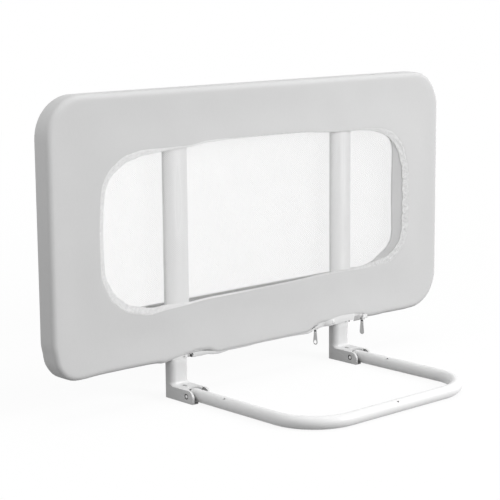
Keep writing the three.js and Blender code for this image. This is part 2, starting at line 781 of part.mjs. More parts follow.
function bracket(x) {
  let body = toSolid(across(bracketSide(), -NECK_W / 2, NECK_W / 2));
  body = cut(body, neckCorner(-1), neckCorner(1));

  const roofArc = TUBE_R + ROOF_CLEARANCE;
  const mouth = block(
    [-EAR_INNER, EAR_INNER],
    [-ARM_REACH - CUT_OVERRUN, PIVOT_Y],
    [-CUT_OVERRUN, ARM_H + CUT_OVERRUN],
  );
  const roofScoop = upright(circle(roofArc), -CUT_OVERRUN, ARM_H + CUT_OVERRUN, ROUND_STEPS);
  roofScoop.translate(0, PIVOT_Y, 0);
  const pocket = block(
    [-EAR_INNER, EAR_INNER],
    [PIVOT_Y - CUT_OVERRUN, NECK_FRONT - ARM_POCKET_BACK],
    [-CUT_OVERRUN, ARM_H - ROOF_T],
  );
  const slot = upright(
    flatOval(BUTTON_L + 2 * GAP, BUTTON_W + 2 * GAP),
    ARM_H - ROOF_T - CUT_OVERRUN,
    ARM_H + NECK_FILLET,
  );
  slot.rotateZ(Math.PI / 2).translate(0, BUTTON_Y, 0);
  body = cut(body, mouth, roofScoop, pocket, slot);

  const seat = BUTTON_Y - SEAT_BAR_L / 2;
  const overlapX = EAR_INNER + EAR_T / 2;
  const seatBar = block([-overlapX, overlapX], [seat, seat + SEAT_BAR_L], [0, SEAT_BAR_H]);
  const lips = [-1, 1].map((end) => {
    const range = [end * LIP_INNER, end * overlapX].sort((a, b) => a - b);
    return block(range, [-ARM_REACH + LIP_INSET, seat + SEAT_BAR_L / 2], [0, LIP_H]);
  });
  body = join(body, seatBar, ...lips);

  const spigot = upright(
    flatOval(SPIGOT_W, SPIGOT_D),
    NECK_TOP - NECK_FILLET,
    POST_FOOT + SPIGOT_GRIP,
  );
  spigot.translate(0, LEG_Y, 0);
  body = join(body, spigot);

  const face = NECK_W / 2;
  body = cut(
    body,
    rodX(BORE_R, -face - CUT_OVERRUN, face + CUT_OVERRUN, PIVOT_Y, TUBE_Z),
    rodX(COUNTERBORE_R, face - COUNTERBORE_DEPTH, face + CUT_OVERRUN, PIVOT_Y, TUBE_Z),
    rodX(COUNTERBORE_R, -face - CUT_OVERRUN, -face + COUNTERBORE_DEPTH, PIVOT_Y, TUBE_Z),
    screwHole(0, SCREW_R + GAP, POST_FRONT, POST_FRONT + SCREW_L + GAP),
  );
  return body.translate(x, 0, 0);
}

// Pivot pin: a rivet with a head in each counterbore
function pivotPin(x) {
  const shoulder = NECK_W / 2 - COUNTERBORE_DEPTH + GAP;
  const reach = shoulder + PIN_HEAD_T;
  const pin = toSolid(rodX(PIN_R, -reach, reach, PIVOT_Y, TUBE_Z));
  const heads = [-1, 1].map((end) => {
    const [low, high] = end < 0 ? [-reach, -shoulder] : [shoulder, reach];
    return rodX(PIN_HEAD_R, low, high, PIVOT_Y, TUBE_Z);
  });
  return join(pin, ...heads).translate(x, 0, 0);
}

// Spacer: a bush on the pin between the tube end and an ear
function spacer(x, end) {
  const low = TUBE_R + GAP;
  const high = EAR_INNER - GAP;
  const [left, right] = end < 0 ? [-high, -low] : [low, high];
  const ring = toSolid(rodX(SPACER_R, left, right, PIVOT_Y, TUBE_Z));
  return cut(
    ring,
    rodX(BORE_R, left - CUT_OVERRUN, right + CUT_OVERRUN, PIVOT_Y, TUBE_Z),
  ).translate(x, 0, 0);
}

// Base bar: one tube bent twice
function drill(radius, tilt, axis) {
  const bit = new THREE.CylinderGeometry(radius, radius, 2 * TUBE_R, SMALL_ROUND_STEPS);
  bit.rotateX(Math.PI / 2).translate(0, 0, TUBE_R);
  const angle = THREE.MathUtils.degToRad(tilt);
  return axis === "x" ? bit.rotateX(angle) : bit.rotateY(-angle);
}

function baseTube() {
  const start = PIVOT_Y - END_COLLAR_L - GAP;
  const corners = [
    new THREE.Vector3(-LEG_X, start, TUBE_Z),
    new THREE.Vector3(-LEG_X, -BAR_REACH, TUBE_Z),
    new THREE.Vector3(LEG_X, -BAR_REACH, TUBE_Z),
    new THREE.Vector3(LEG_X, start, TUBE_Z),
  ];
  const section = pierced(circle(TUBE_R), circle(TUBE_R - TUBE_WALL));
  const bend = tubeAlong(bentPath(corners, BEND_R, BEND_STEPS), section, ROUND_STEPS / 2);
  const legHoles = SIDES.map(({ x }) =>
    drill(HOLE_R, LEG_HOLE_TILT, "y").translate(x, -LEG_HOLE_REACH, TUBE_Z),
  );
  const frontHole = drill(HOLE_R, FRONT_HOLE_TILT, "x").translate(FRONT_HOLE_X, -BAR_REACH, TUBE_Z);
  return cut(toSolid(bend), ...legHoles, frontHole);
}

// Tube end: a domed fitting, round about the pivot so that it turns clear of the roof and lips
function tubeEnd(x) {
  const profile = new THREE.Path();
  const inner = TUBE_R - TUBE_WALL - GAP;
  profile.moveTo(0, -END_COLLAR_L - END_SPIGOT_L);
  profile.lineTo(inner, -END_COLLAR_L - END_SPIGOT_L);
  profile.lineTo(inner, -END_COLLAR_L);
  profile.lineTo(TUBE_R, -END_COLLAR_L);
  profile.absarc(0, 0, TUBE_R, 0, Math.PI / 2);
  const points = profile.getPoints(CORNER_STEPS / 2);
  points[points.length - 1].x = 0;
  const fitting = new THREE.LatheGeometry(points, ROUND_STEPS).translate(0, PIVOT_Y, TUBE_Z);
  const dimpleFloor = PIVOT_Y + TUBE_R - DIMPLE_DEPTH;
  return cut(
    toSolid(fitting),
    rodX(BORE_R, -TUBE_R - CUT_OVERRUN, TUBE_R + CUT_OVERRUN, PIVOT_Y, TUBE_Z),
    rodY(DIMPLE_R, dimpleFloor, PIVOT_Y + TUBE_R + CUT_OVERRUN, 0, TUBE_Z),
  ).translate(x, 0, 0);
}

// Lock button: thumb cap in the roof's slot, flange under the roof, and a nose that faces the tube end
const FLANGE_TOP = ARM_H - ROOF_T - GAP;
const FLANGE_BOTTOM = FLANGE_TOP - BUTTON_FLANGE_T;

function lockButton(x) {
  const cap = upright(
    flatOval(BUTTON_L, BUTTON_W),
    FLANGE_BOTTOM + BUTTON_FLANGE_T / 2,
    ARM_H + BUTTON_PROUD,
  ).rotateZ(Math.PI / 2);
  const flange = upright(
    flatOval(BUTTON_L + 2 * BUTTON_FLANGE, BUTTON_W + 2 * BUTTON_FLANGE),
    FLANGE_BOTTOM,
    FLANGE_TOP,
  ).rotateZ(Math.PI / 2);
  const stem = block(
    [-BLOCK_W / 2, BLOCK_W / 2],
    [-BLOCK_L / 2, BLOCK_L / 2],
    [BLOCK_BOTTOM, FLANGE_BOTTOM + BUTTON_FLANGE_T / 2],
  );
  const noseTip = PIVOT_Y + TUBE_R + NOSE_SHORT - BUTTON_Y;
  const nose = block(
    [-NOSE_W / 2, NOSE_W / 2],
    [noseTip, 0],
    [TUBE_Z - NOSE_H / 2, TUBE_Z + NOSE_H / 2],
  );
  return join(toSolid(cap), flange, stem, nose).translate(x, BUTTON_Y, 0);
}

// Lock spring: a coil between the seat bar and the button's underside
class Coil extends THREE.Curve {
  constructor(radius, bottom, top, turns) {
    super();
    this.radius = radius;
    this.bottom = bottom;
    this.top = top;
    this.turns = turns;
  }

  getPoint(t, target = new THREE.Vector3()) {
    const angle = 2 * Math.PI * this.turns * t;
    const rise = this.bottom + (this.top - this.bottom) * t;
    return target.set(this.radius * Math.cos(angle), this.radius * Math.sin(angle), rise);
  }
}

function lockSpring(x) {
  const bottom = SEAT_BAR_H + GAP + SPRING_WIRE_R;
  const top = BLOCK_BOTTOM - GAP - SPRING_WIRE_R;
  const coil = new Coil(SPRING_R, bottom, top, SPRING_TURNS);
  const wire = new THREE.ExtrudeGeometry(circle(SPRING_WIRE_R), {
    steps: Math.round(SPRING_TURNS * SPRING_STEPS),
    extrudePath: coil,
    curveSegments: SPRING_WIRE_STEPS,
  });
  return wire.translate(x, BUTTON_Y, 0);
}

// Assembly
addPiece("cover_front", coverFront(), fabricGrey);
addPiece("cover_back", coverBack(), fabricGrey);
addPiece("window_net_front", windowNet(-HALF_T + (FABRIC - NET_T) / 2), netWhite);
addPiece("window_net_back", windowNet(HALF_T - FABRIC + (FABRIC - NET_T) / 2), netWhite);
addPiece("window_binding_front", windowBinding(-HALF_T), bindingGrey);
addPiece("window_binding_back", windowBinding(HALF_T - FABRIC), bindingGrey);
addPiece("zip_tape_middle", zipTape(ZIP_MIDDLE_START, ZIP_MIDDLE_END), zipWhite);
addPiece("zip_tape_right", zipTape(ZIP_RIGHT_START, ZIP_RIGHT_END), zipWhite);

const sliderInset = SLIDER_L / 2 + GAP;
addPiece("zip_slider_middle_left", zipSlider(ZIP_MIDDLE_START + sliderInset, false), zincGrey);
addPiece("zip_slider_middle_right", zipSlider(ZIP_MIDDLE_END - sliderInset, true), zincGrey);
addPiece("zip_slider_right", zipSlider(ZIP_RIGHT_START + sliderInset, true), zincGrey);
addPiece("zip_pull_middle", zipPull(ZIP_MIDDLE_END - sliderInset, true), zincGrey);
addPiece("zip_pull_right", zipPull(ZIP_RIGHT_START + sliderInset, false), zincGrey);

addPiece("rail_top", railTop(), paintedWhite);
addPiece("rail_bottom", railBottom(), paintedWhite);
[
  ["left", -1],
  ["right", 1],
].forEach(([side, end]) => {
  addPiece(`rail_joiner_${side}`, railJoiner(end), plasticGrey);
  addPiece(`rail_rivet_${side}_lower`, joinerRivet(end, -1), steelGrey);
  addPiece(`rail_rivet_${side}_upper`, joinerRivet(end, 1), steelGrey);
});

SIDES.forEach(({ side, x }) => {
  addPiece(`post_${side}`, post(x), paintedWhite);
  addPiece(`post_plug_${side}`, postPlug(x), plasticGrey);
  addPiece(`post_bush_${side}`, postBush(x), plasticGrey);
  addPiece(`post_screw_${side}`, postScrew(x), steelGrey);
  addPiece(`bracket_${side}`, bracket(x), paintedWhite);
  addPiece(`pivot_pin_${side}`, pivotPin(x), steelGrey);
  addPiece(`spacer_${side}_outer`, spacer(x, x < 0 ? -1 : 1), plasticGrey);
  addPiece(`spacer_${side}_inner`, spacer(x, x < 0 ? 1 : -1), plasticGrey);
  addPiece(`lock_button_${side}`, lockButton(x), paintedWhite);
  addPiece(`lock_spring_${side}`, lockSpring(x), steelGrey);
  addPiece(`tube_end_${side}`, tubeEnd(x), paintedWhite);
});
addPiece("base_tube", baseTube(), paintedWhite);

// The row's origin is on the floor, in the middle of the footprint
guardRail.position.y = MODEL_SHIFT_Y;

export default guardRail;
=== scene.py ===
"""Dresses the folding bed guard rail: cloth cover, net windows, zips, frame, hinges and stage."""

import math
from contextlib import contextmanager
from functools import partial, partialmethod

import bmesh
import bpy
import numpy as np
from bpy.props import FloatProperty, FloatVectorProperty, PointerProperty
from mathutils import Matrix, Vector


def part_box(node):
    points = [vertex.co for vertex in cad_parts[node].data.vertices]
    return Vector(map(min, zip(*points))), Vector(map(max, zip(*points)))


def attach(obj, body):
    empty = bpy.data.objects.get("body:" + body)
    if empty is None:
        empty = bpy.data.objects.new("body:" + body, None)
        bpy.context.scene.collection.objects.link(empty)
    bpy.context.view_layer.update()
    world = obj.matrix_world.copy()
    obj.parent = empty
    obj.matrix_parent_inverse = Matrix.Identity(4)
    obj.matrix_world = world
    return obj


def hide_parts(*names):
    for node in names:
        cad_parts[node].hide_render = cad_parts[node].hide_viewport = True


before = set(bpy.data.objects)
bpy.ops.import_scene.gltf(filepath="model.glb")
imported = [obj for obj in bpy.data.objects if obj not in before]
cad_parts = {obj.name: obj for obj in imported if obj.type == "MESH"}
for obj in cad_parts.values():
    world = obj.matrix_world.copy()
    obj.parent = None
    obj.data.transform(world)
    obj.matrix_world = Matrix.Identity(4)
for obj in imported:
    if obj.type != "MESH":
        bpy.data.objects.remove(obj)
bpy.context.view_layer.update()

bl_info = {
    "name": "Folding Bed Guard Rail",
    "version": (1, 0, 0),
    "blender": (4, 5, 0),
    "location": "View3D > Sidebar > Bed Guard",
    "description": "Cloth, net, zip, painted tube and stage for a folding bed guard rail",
    "category": "Object",
}

MM = 0.001
SIDES = ("left", "right")
UP = Vector((0, 0, 1))
WHITE = (1, 1, 1, 1)
BLACK = (0, 0, 0, 1)


def box(node):
    """The low and the high corner of a node's box."""
    return [Vector(corner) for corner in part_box(node)]


def middle_of(node, axis):
    """The middle of a node's box along an axis."""
    low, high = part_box(node)
    return (low[axis] + high[axis]) / 2


# The cover's box comes from the frame, and the panel's middle plane is the middle of it.
PANEL_LOW, PANEL_HIGH = box("cover_front")
PANEL_Y = (PANEL_LOW.y + PANEL_HIGH.y) / 2
PANEL_Z = PANEL_LOW.z
PANEL_WIDTH = PANEL_HIGH.x - PANEL_LOW.x
PANEL_HEIGHT = PANEL_HIGH.z - PANEL_LOW.z
# The cover's half depth and its radii in millimetres
HALF_DEPTH = (PANEL_HIGH.y - PANEL_LOW.y) / 2 / MM
CORNER_RADIUS = 75
RIM_RADIUS = 10
ZIP_Y = middle_of("zip_tape_middle", 1)
LEG_X = [middle_of(f"post_{side}", 0) for side in SIDES]


def linear(grey):
    """A written grey from 0 to 255 as linear RGB."""
    share = grey / 255
    return (((share + 0.055) / 1.055) ** 2.4 if share > 0.04045 else share / 12.92,) * 3


# Shader and geometry trees


class Value:
    """A socket of a node tree. Arithmetic on it adds Math nodes to the tree."""

    def __init__(self, tree, socket):
        self.tree = tree
        self.socket = socket

    def operate(self, operation, *others):
        inputs = dict(enumerate((self, *others)))
        return self.tree.add("ShaderNodeMath", {"operation": operation}, inputs)

    __add__ = __radd__ = partialmethod(operate, "ADD")
    __sub__ = partialmethod(operate, "SUBTRACT")
    __mul__ = __rmul__ = partialmethod(operate, "MULTIPLY")
    __gt__ = partialmethod(operate, "GREATER_THAN")
    sine = partialmethod(operate, "SINE")
    magnitude = partialmethod(operate, "ABSOLUTE")
    largest = partialmethod(operate, "MAXIMUM")
    smallest = partialmethod(operate, "MINIMUM")

    def __rsub__(self, other):
        return (self * -1) + other

    def held(self):
        """The value kept between 0 and 1."""
        return self.largest(0.0).smallest(1.0)


class Tree:
    """A node tree that is built by one method."""

    def __init__(self, tree):
        self.nodes = tree.nodes
        self.links = tree.links

    def add(self, kind, settings=None, inputs=None, output=0):
        node = self.nodes.new(kind)
        for name, setting in (settings or {}).items():
            setattr(node, name, setting)
        for name, value in (inputs or {}).items():
            if isinstance(value, Value):
                self.links.new(value.socket, node.inputs[name])
            else:
                node.inputs[name].default_value = value
        return Value(self, node.outputs[output]) if len(node.outputs) else node


# The Mix node's colour sockets, by number because its sockets share their names
MIX_A, MIX_B, MIX_COLOUR = 6, 7, 2


class Finish(Tree):
    """A material with one Principled shader, made of named values."""

    def __init__(self, name):
        self.material = bpy.data.materials.new(name)
        self.material.use_nodes = True
        super().__init__(self.material.node_tree)
        self.nodes.clear()

    def place(self):
        return self.add("ShaderNodeTexCoord", output="Object")

    def weave_place(self):
        return self.add("ShaderNodeUVMap", {"uv_map": "weave"})

    def split(self, vector):
        node = self.add("ShaderNodeSeparateXYZ", inputs={0: vector}).socket.node
        return [Value(self, node.outputs[axis]) for axis in range(3)]

    def noise(self, place, scale, detail=3.0, roughness=0.5, stretch=None):
        if stretch:
            place = self.add("ShaderNodeMapping", inputs={"Vector": place, "Scale": stretch})
        inputs = {"Vector": place, "Scale": scale, "Detail": detail, "Roughness": roughness}
        return self.add("ShaderNodeTexNoise", inputs=inputs)

    def mix(self, factor, colour_a, colour_b):
        inputs = {0: factor, MIX_A: colour_a, MIX_B: colour_b}
        return self.add("ShaderNodeMix", {"data_type": "RGBA"}, inputs, MIX_COLOUR)

    def shades(self, factor, colour, depth):
        """The colour, lighter and darker by the depth as the factor goes from 0 to 1."""
        dark = (*[c * (1 - depth) for c in colour], 1)
        light = (*[min(1, c * (1 + depth)) for c in colour], 1)
        return self.mix(factor, dark, light)

    def bump(self, height, distance, strength=1.0):
        inputs = {"Height": height, "Distance": distance, "Strength": strength}
        return self.add("ShaderNodeBump", inputs=inputs)

    def principled(self, **sockets):
        """The material, with the sockets of its Principled shader set by their names."""
        inputs = {
            name.replace("_", " ").title().replace("Ior", "IOR"): value
            for name, value in sockets.items()
        }
        shader = self.add("ShaderNodeBsdfPrincipled", inputs=inputs)
        self.add("ShaderNodeOutputMaterial", inputs={"Surface": shader})
        return self.material


# Finishes


def woven_cloth(name, colour, pitch, mottle, painted_glow=0.0):
    """Plain weave with a soft mottle and a slight nap. The painted glow is painted light: the cloth glows,
    standing in for light that would come through it.
    """
    finish = Finish(name)
    across, along, _ = finish.split(finish.weave_place())
    warp = (across * (math.tau / pitch)).sine()
    weft = (along * (math.tau / pitch)).sine()
    over = (warp * weft) * 0.5 + 0.5
    place = finish.place()
    patches = finish.noise(place, scale=11, detail=5, roughness=0.65)
    slubs = finish.noise(place, scale=420, roughness=0.7, stretch=(1, 1, 0.25))
    fuzz = finish.noise(place, scale=1900, detail=2)
    tone = patches * 0.5 + slubs * 0.4 + over * 0.1
    height = over * 0.5 + slubs * 0.25 + fuzz * 0.25
    shade = finish.shades(tone, colour, mottle)
    light = WHITE
    if painted_glow:
        # Painted shade: below the window's sill the inside is painted darker, and its painted glow is off.
        above = ((finish.split(place)[2] - SILL_SHADE) * SILL_SHADE_EDGE).held()
        shade = finish.mix(above, (*linear(SHADED_LINING), 1), shade)
        light = finish.mix(above, BLACK, light)
    return finish.principled(
        base_color=shade,
        roughness=patches * 0.1 + 0.84,
        emission_color=light,
        emission_strength=painted_glow,
        sheen_weight=0.12,
        sheen_roughness=0.5,
        specular_ior_level=0.25,
        normal=finish.bump(height, distance=0.00012, strength=0.35),
    )


def net_strands(finish, pitch, strand):
    """Where the strands of a knitted net run, as 0 or 1, and how far the nearest one is."""
    across, up, _ = finish.split(finish.weave_place())
    step = math.pi / pitch
    rising = ((across + up * NET_LEAN) * step).sine().magnitude()
    falling = ((across - up * NET_LEAN) * step).sine().magnitude()
    nearest = rising.smallest(falling)
    knots = (1 - rising.largest(falling)) > NET_KNOT
    return ((strand - nearest) > 0).largest(knots), nearest


def knitted_net(name, colour, pitch, strand):
    """Fine knitted net: two families of slanted strands with open holes between."""
    finish = Finish(name)
    place = finish.place()
    along = finish.split(place)[0]
    cover, nearest = net_strands(finish, pitch, along * 0.08 + strand)
    # Painted light: the net's colour is painted lighter towards the left, with a faint random mottle.
    tone = finish.noise(place, scale=24) * 0.2 - along * 0.8 + 0.45
    return finish.principled(
        base_color=finish.shades(tone, colour, 0.12),
        roughness=0.85,
        specular_ior_level=0.2,
        alpha=cover,
        normal=finish.bump(nearest, distance=0.0001, strength=0.3),
    )


def gathered_net(name, colour, pitch):
    """Net gathered into a narrow edging, mottled by its folds, and painted paler towards the left as
    painted light, where it is drawn thin.
    """
    finish = Finish(name)
    place = finish.place()
    folds = finish.noise(place, scale=190, detail=4, roughness=0.7)
    crumpled = finish.noise(place, scale=520, roughness=0.65)
    strands, _ = net_strands(finish, pitch, 0.3)
    tone = (folds * 0.5 + crumpled * 0.5 - 0.5) * 2.6 + 0.35 + strands * 0.3
    # Painted light: towards the left the edging is painted paler.
    painted_light_left = (finish.split(place)[0] * -12).held()
    usual_edging = finish.shades(tone, colour, 0.16)
    thin = finish.shades(tone, linear(PAINTED_LIGHT_EDGING_GREY), 0.16)
    return finish.principled(
        base_color=finish.mix(painted_light_left, usual_edging, thin),
        roughness=0.92,
        specular_ior_level=0.2,
        normal=finish.bump(tone, distance=0.0007, strength=0.8),
    )


def powder_paint(name, colour, coat=0.12, roughness=0.34):
    """White powder coat with a fine orange-peel skin and slightly rubbed places."""
    finish = Finish(name)
    place = finish.place()
    peel = finish.noise(place, scale=750, detail=2)
    rubbed = finish.noise(place, scale=22, detail=4, roughness=0.6)
    return finish.principled(
        base_color=finish.shades(rubbed, colour, 0.015),
        roughness=rubbed * 0.12 + roughness,
        coat_weight=coat,
        coat_roughness=0.2,
        normal=finish.bump(peel, distance=0.00005, strength=0.25),
    )


def moulded(name, colour, roughness):
    """Moulded plastic with a fine spark-eroded grain."""
    finish = Finish(name)
    place = finish.place()
    grain = finish.noise(place, scale=1400, roughness=0.6)
    tone = finish.noise(place, scale=45, detail=2)
    return finish.principled(
        base_color=finish.shades(tone, colour, 0.02),
        roughness=grain * 0.12 + roughness,
        normal=finish.bump(grain, distance=0.00004, strength=0.3),
    )


def plated_metal(name, colour, roughness):
    """Plated metal with faint rubbing along one direction."""
    finish = Finish(name)
    place = finish.place()
    rubbing = finish.noise(place, scale=500, roughness=0.6, stretch=(0.15, 1, 1))
    stain = finish.noise(place, scale=60)
    return finish.principled(
        base_color=finish.shades(stain, colour, 0.06),
        metallic=1.0,
        roughness=rubbing * 0.16 + roughness,
        normal=finish.bump(rubbing, distance=0.00003, strength=0.3),
    )


# Grey of the edging at the left, where it is drawn thin: painted paler as painted light, standing in for
# light that would come through it
PAINTED_LIGHT_EDGING_GREY = 243
# How steep the net's strands run, and how small a knot is where they meet
NET_LEAN = 1.3
NET_KNOT = 0.72
# The net behind is finer and thinner, by these shares
FINE_PITCH = 0.37
FINE_STRAND = 0.4
# The cover's inside has painted shade up to just over the back window's lower edge: its height, edge and
# grey
SILL_SHADE = PANEL_Z + 0.1
SILL_SHADE_EDGE = 120
SHADED_LINING = 128
TAPE_WEAVE = 0.9 * MM
FINISHES = {}


def finishes():
    """All finishes, made once."""
    if not FINISHES:
        cover = bpy.context.scene.bed_guard_cover
        paint = bpy.context.scene.bed_guard_frame
        weave, pitch, strand = cover.weave_pitch, cover.net_pitch, cover.net_strand
        fine = (pitch * FINE_PITCH, strand * FINE_STRAND)
        FINISHES.update(
            cloth=woven_cloth("cover_cloth", cover.cloth_colour, weave, 0.05),
            # The lining has a painted glow, and painted shade below the back window's sill.
            lining=woven_cloth("lining_cloth", cover.lining_colour, weave, 0.04, painted_glow=0.24),
            net=knitted_net("window_net", cover.net_colour, pitch, strand),
            fine_net=knitted_net("fine_window_net", cover.net_colour, *fine),
            edging=gathered_net("net_edging", cover.edging_colour, pitch),
            tape=woven_cloth("zip_tape_cloth", cover.tape_colour, TAPE_WEAVE, 0.03),
            # A darker cloth that paints the shade inside the zip's pocket
            fold=woven_cloth("shaded_fold", linear(182), TAPE_WEAVE, 0.12),
            teeth=moulded("zip_teeth", linear(214), 0.35),
            enamel=moulded("white_enamel", linear(244), 0.3),
            paint=powder_paint("white_powder_coat", paint.paint_colour),
            casting=powder_paint("white_casting_coat", paint.casting_colour),
            # Painted shade for the inside of the cast brackets
            thin_coat=powder_paint("thin_casting_coat", paint.casting_colour * 0.38, coat=0.02),
            tube=powder_paint("white_tube_coat", paint.tube_colour, coat=0.35, roughness=0.45),
            nylon=moulded("grey_nylon", linear(168), 0.5),
            liner=moulded("dark_nylon", linear(44), 0.6),
            zinc=plated_metal("plated_zinc", linear(176), 0.32),
            dark_metal=plated_metal("burnished_metal", linear(84), 0.35),
            steel=plated_metal("bright_steel", linear(205), 0.22),
        )
    return FINISHES


# Meshes


def panel_point(x, y, z):
    """A point given in millimetres from the panel's middle plane and its lower edge."""
    return (x * MM, PANEL_Y + y * MM, PANEL_Z + z * MM)


def panel_points(rows):
    """The points of rows given in millimetres."""
    return [panel_point(*point) for row in rows for point in row]


def flat_row(flat, y, lift=0):
    """A row of points in millimetres: flat ones, how far back they lie and how far up they are moved."""
    return np.column_stack([flat[:, 0], np.broadcast_to(y, len(flat)), flat[:, 1] + lift])


def grid_faces(rows, columns, closed=True, skip=lambda row, column: False):
    """Faces between rows of points, closed round or open, without those that are skipped."""
    faces = []
    for row in range(rows - 1):
        for column in range(columns if closed else columns - 1):
            if not skip(row, column):
                a = row * columns + column
                b = row * columns + (column + 1) % columns
                faces.append((a, b, b + columns, a + columns))
    return faces


def turned_over(faces):
    """Faces that look the other way and start from the same point."""
    return [(a, d, c, b) for a, b, c, d in faces]


def new_mesh(name, points, faces):
    mesh = bpy.data.meshes.new(name)
    mesh.from_pydata([tuple(map(float, point)) for point in points], [], faces)
    mesh.validate()
    return mesh


def link(name, data):
    """A new object in the scene."""
    piece = bpy.data.objects.new(name, data)
    bpy.context.scene.collection.objects.link(piece)
    return piece


def new_object(name, mesh, finish):
    """A new object with one of the finishes."""
    mesh.materials.clear()
    mesh.materials.append(finishes()[finish])
    return link(name, mesh)


def new_piece(name, points, faces, finish):
    return new_object(name, new_mesh(name, points, faces), finish)


@contextmanager
def edited(mesh):
    """The mesh opened for edits, which are written back at the end."""
    work = bmesh.new()
    work.from_mesh(mesh)
    yield work
    work.to_mesh(mesh)
    work.free()


def smooth_faces(mesh, sharp_degrees):
    mesh.shade_smooth()
    mesh.set_sharp_from_angle(angle=math.radians(sharp_degrees))


def apply_modifiers(piece):
    """Turns the evaluated object into a plain mesh."""
    graph = bpy.context.evaluated_depsgraph_get()
    mesh = bpy.data.meshes.new_from_object(piece.evaluated_get(graph))
    piece.modifiers.clear()
    piece.data = mesh


def full_turn(steps):
    """Even angles once round a circle."""
    return np.linspace(0, math.tau, steps + 1)[:-1]


def make_cloth(piece, thickness, sharp_degrees, offset=-1):
    """Gives a sheet its thickness, the coordinates of its weave and its sharp edges."""
    solidify = piece.modifiers.new("thickness", "SOLIDIFY")
    solidify.thickness = thickness
    solidify.offset = offset
    apply_modifiers(piece)
    box_weave(piece.data)
    smooth_faces(piece.data, sharp_degrees)


def box_weave(mesh):
    """A UV map in metres, laid from the side that each face looks to."""
    layer = mesh.uv_layers.new(name="weave")
    for polygon in mesh.polygons:
        normal = [abs(part) for part in polygon.normal]
        drop = normal.index(max(normal))
        first, second = [axis for axis in range(3) if axis != drop]
        for loop in polygon.loop_indices:
            point = mesh.vertices[mesh.loops[loop].vertex_index].co
            layer.data[loop].uv = (point[first], point[second])


def carry(piece, body, slot, *nodes):
    """Seats a piece on its body and hides the CAD nodes it stands for. The slot is not used."""
    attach(piece, body)
    if nodes:
        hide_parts(*nodes)
    return piece


def spread(stops, steps):
    """Numbers from the first stop to the last, with each stop kept and even steps between."""
    values = [stops[0]]
    for low, high in zip(stops, stops[1:]):
        count = max(1, round((high - low) / steps))
        values += [low + (high - low) * (i + 1) / count for i in range(count)]
    return values


# The openings for the zips and legs along the underside, in millimetres from the panel's middle
ZIP_OPEN = (-246.5, 425)
LEG_SLOTS = ((-246.5, -183.5), (183.5, 246.5))
UNDERSIDE = spread([-425, -246.5, -183.5, 150, 183.5, 246.5, 276, 425], 4)
UNDER_COUNT = len(UNDERSIDE)
# Points along an outline's upright side, and steps round a corner
SIDE_STEPS = 61
CORNER_STEPS = 18


def outline(width, height, radius):
    """Points and outward directions round a rounded rectangle, the same count for every size.

    It starts at the left end of the lower edge and runs anticlockwise seen from the bed."""
    straight_x = width / 2 - radius
    straight_z = height / 2 - radius
    under = [x / UNDERSIDE[-1] for x in UNDERSIDE]
    sides = np.linspace(-1, 1, SIDE_STEPS)
    arc = np.radians(np.linspace(0, 90, CORNER_STEPS + 1))
    points = []

    def straight(values, fixed, direction):
        for value in values:
            at = (value * straight_x, fixed) if direction[0] == 0 else (fixed, value * straight_z)
            points.append((*at, *direction))

    def corner(x, z, start):
        for angle in arc[1:-1]:
            way = (math.cos(start + angle), math.sin(start + angle))
            points.append((x + radius * way[0], z + radius * way[1], *way))

    straight(under, -height / 2, (0, -1))
    corner(straight_x, -straight_z, -math.pi / 2)
    straight(sides, width / 2, (1, 0))
    corner(straight_x, straight_z, 0)
    straight(under[::-1], height / 2, (0, 1))
    corner(-straight_x, straight_z, math.pi / 2)
    straight(sides[::-1], -width / 2, (-1, 0))
    corner(-straight_x, -straight_z, math.pi)
    return np.array(points)


def round_curve(knots, at, period=None):
    """A smooth curve through (place, value) knots, without overshoot, read at the places given."""
    knots = sorted(dict(knots).items())
    places = np.array([knot[0] for knot in knots], float)
    values = np.array([knot[1] for knot in knots], float)
    if period:
        places = np.concatenate([places - period, places, places + period])
        values = np.tile(values, 3)
    steps = np.diff(places)
    rises = np.diff(values) / steps
    slopes = np.zeros(len(places))
    same = rises[1:] * rises[:-1] > 0
    slopes[1:-1][same] = 2 * rises[1:][same] * rises[:-1][same] / (rises[1:] + rises[:-1])[same]
    index = np.clip(np.searchsorted(places, at) - 1, 0, len(places) - 2)
    span = steps[index]
    t = np.clip((at - places[index]) / span, 0, 1)
    low, high = values[index], values[index + 1]
    start, end = slopes[index] * span, slopes[index + 1] * span
    return (
        low * (2 * t**3 - 3 * t**2 + 1)
        + start * (t**3 - 2 * t**2 + t)
        + high * (3 * t**2 - 2 * t**3)
        + end * (t**3 - t**2)
    )


# The windows' pattern in millimetres, before the sewing draws it out of shape
WINDOW_WIDTH, WINDOW_HEIGHT, WINDOW_SILL, WINDOW_RADIUS = 806, 306, 96, 74
WINDOW_MIDDLE = WINDOW_SILL + WINDOW_HEIGHT / 2
# Places that the front window's sewn edge runs through, from the panel's middle and lower edge
FRONT_WINDOW = [
    (-394, 245), (-391, 303), (-381, 349), (-358, 373), (-328, 388), (-289, 394), (-193, 393),
    (-142, 398), (-38, 400), (91, 399), (168, 394), (236, 392), (290, 392), (314, 390), (350, 382),
    (379, 362), (396, 333), (407, 290), (408, 234), (406, 183), (394, 142), (366, 117), (325, 108),
    (289, 107), (168, 109), (65, 106), (-53, 105), (-130, 105), (-196, 101), (-253, 98),
    (-284, 95), (-321, 102), (-360, 122), (-382, 150), (-393, 185),
]
# A quarter of the back window's edge, from the window's middle
BACK_WINDOW_CORNER = [
    (0, -149.5), (280, -150.5), (311, -151), (336, -147.5), (369, -132), (390, -119), (405, -100),
    (406, 0),
]
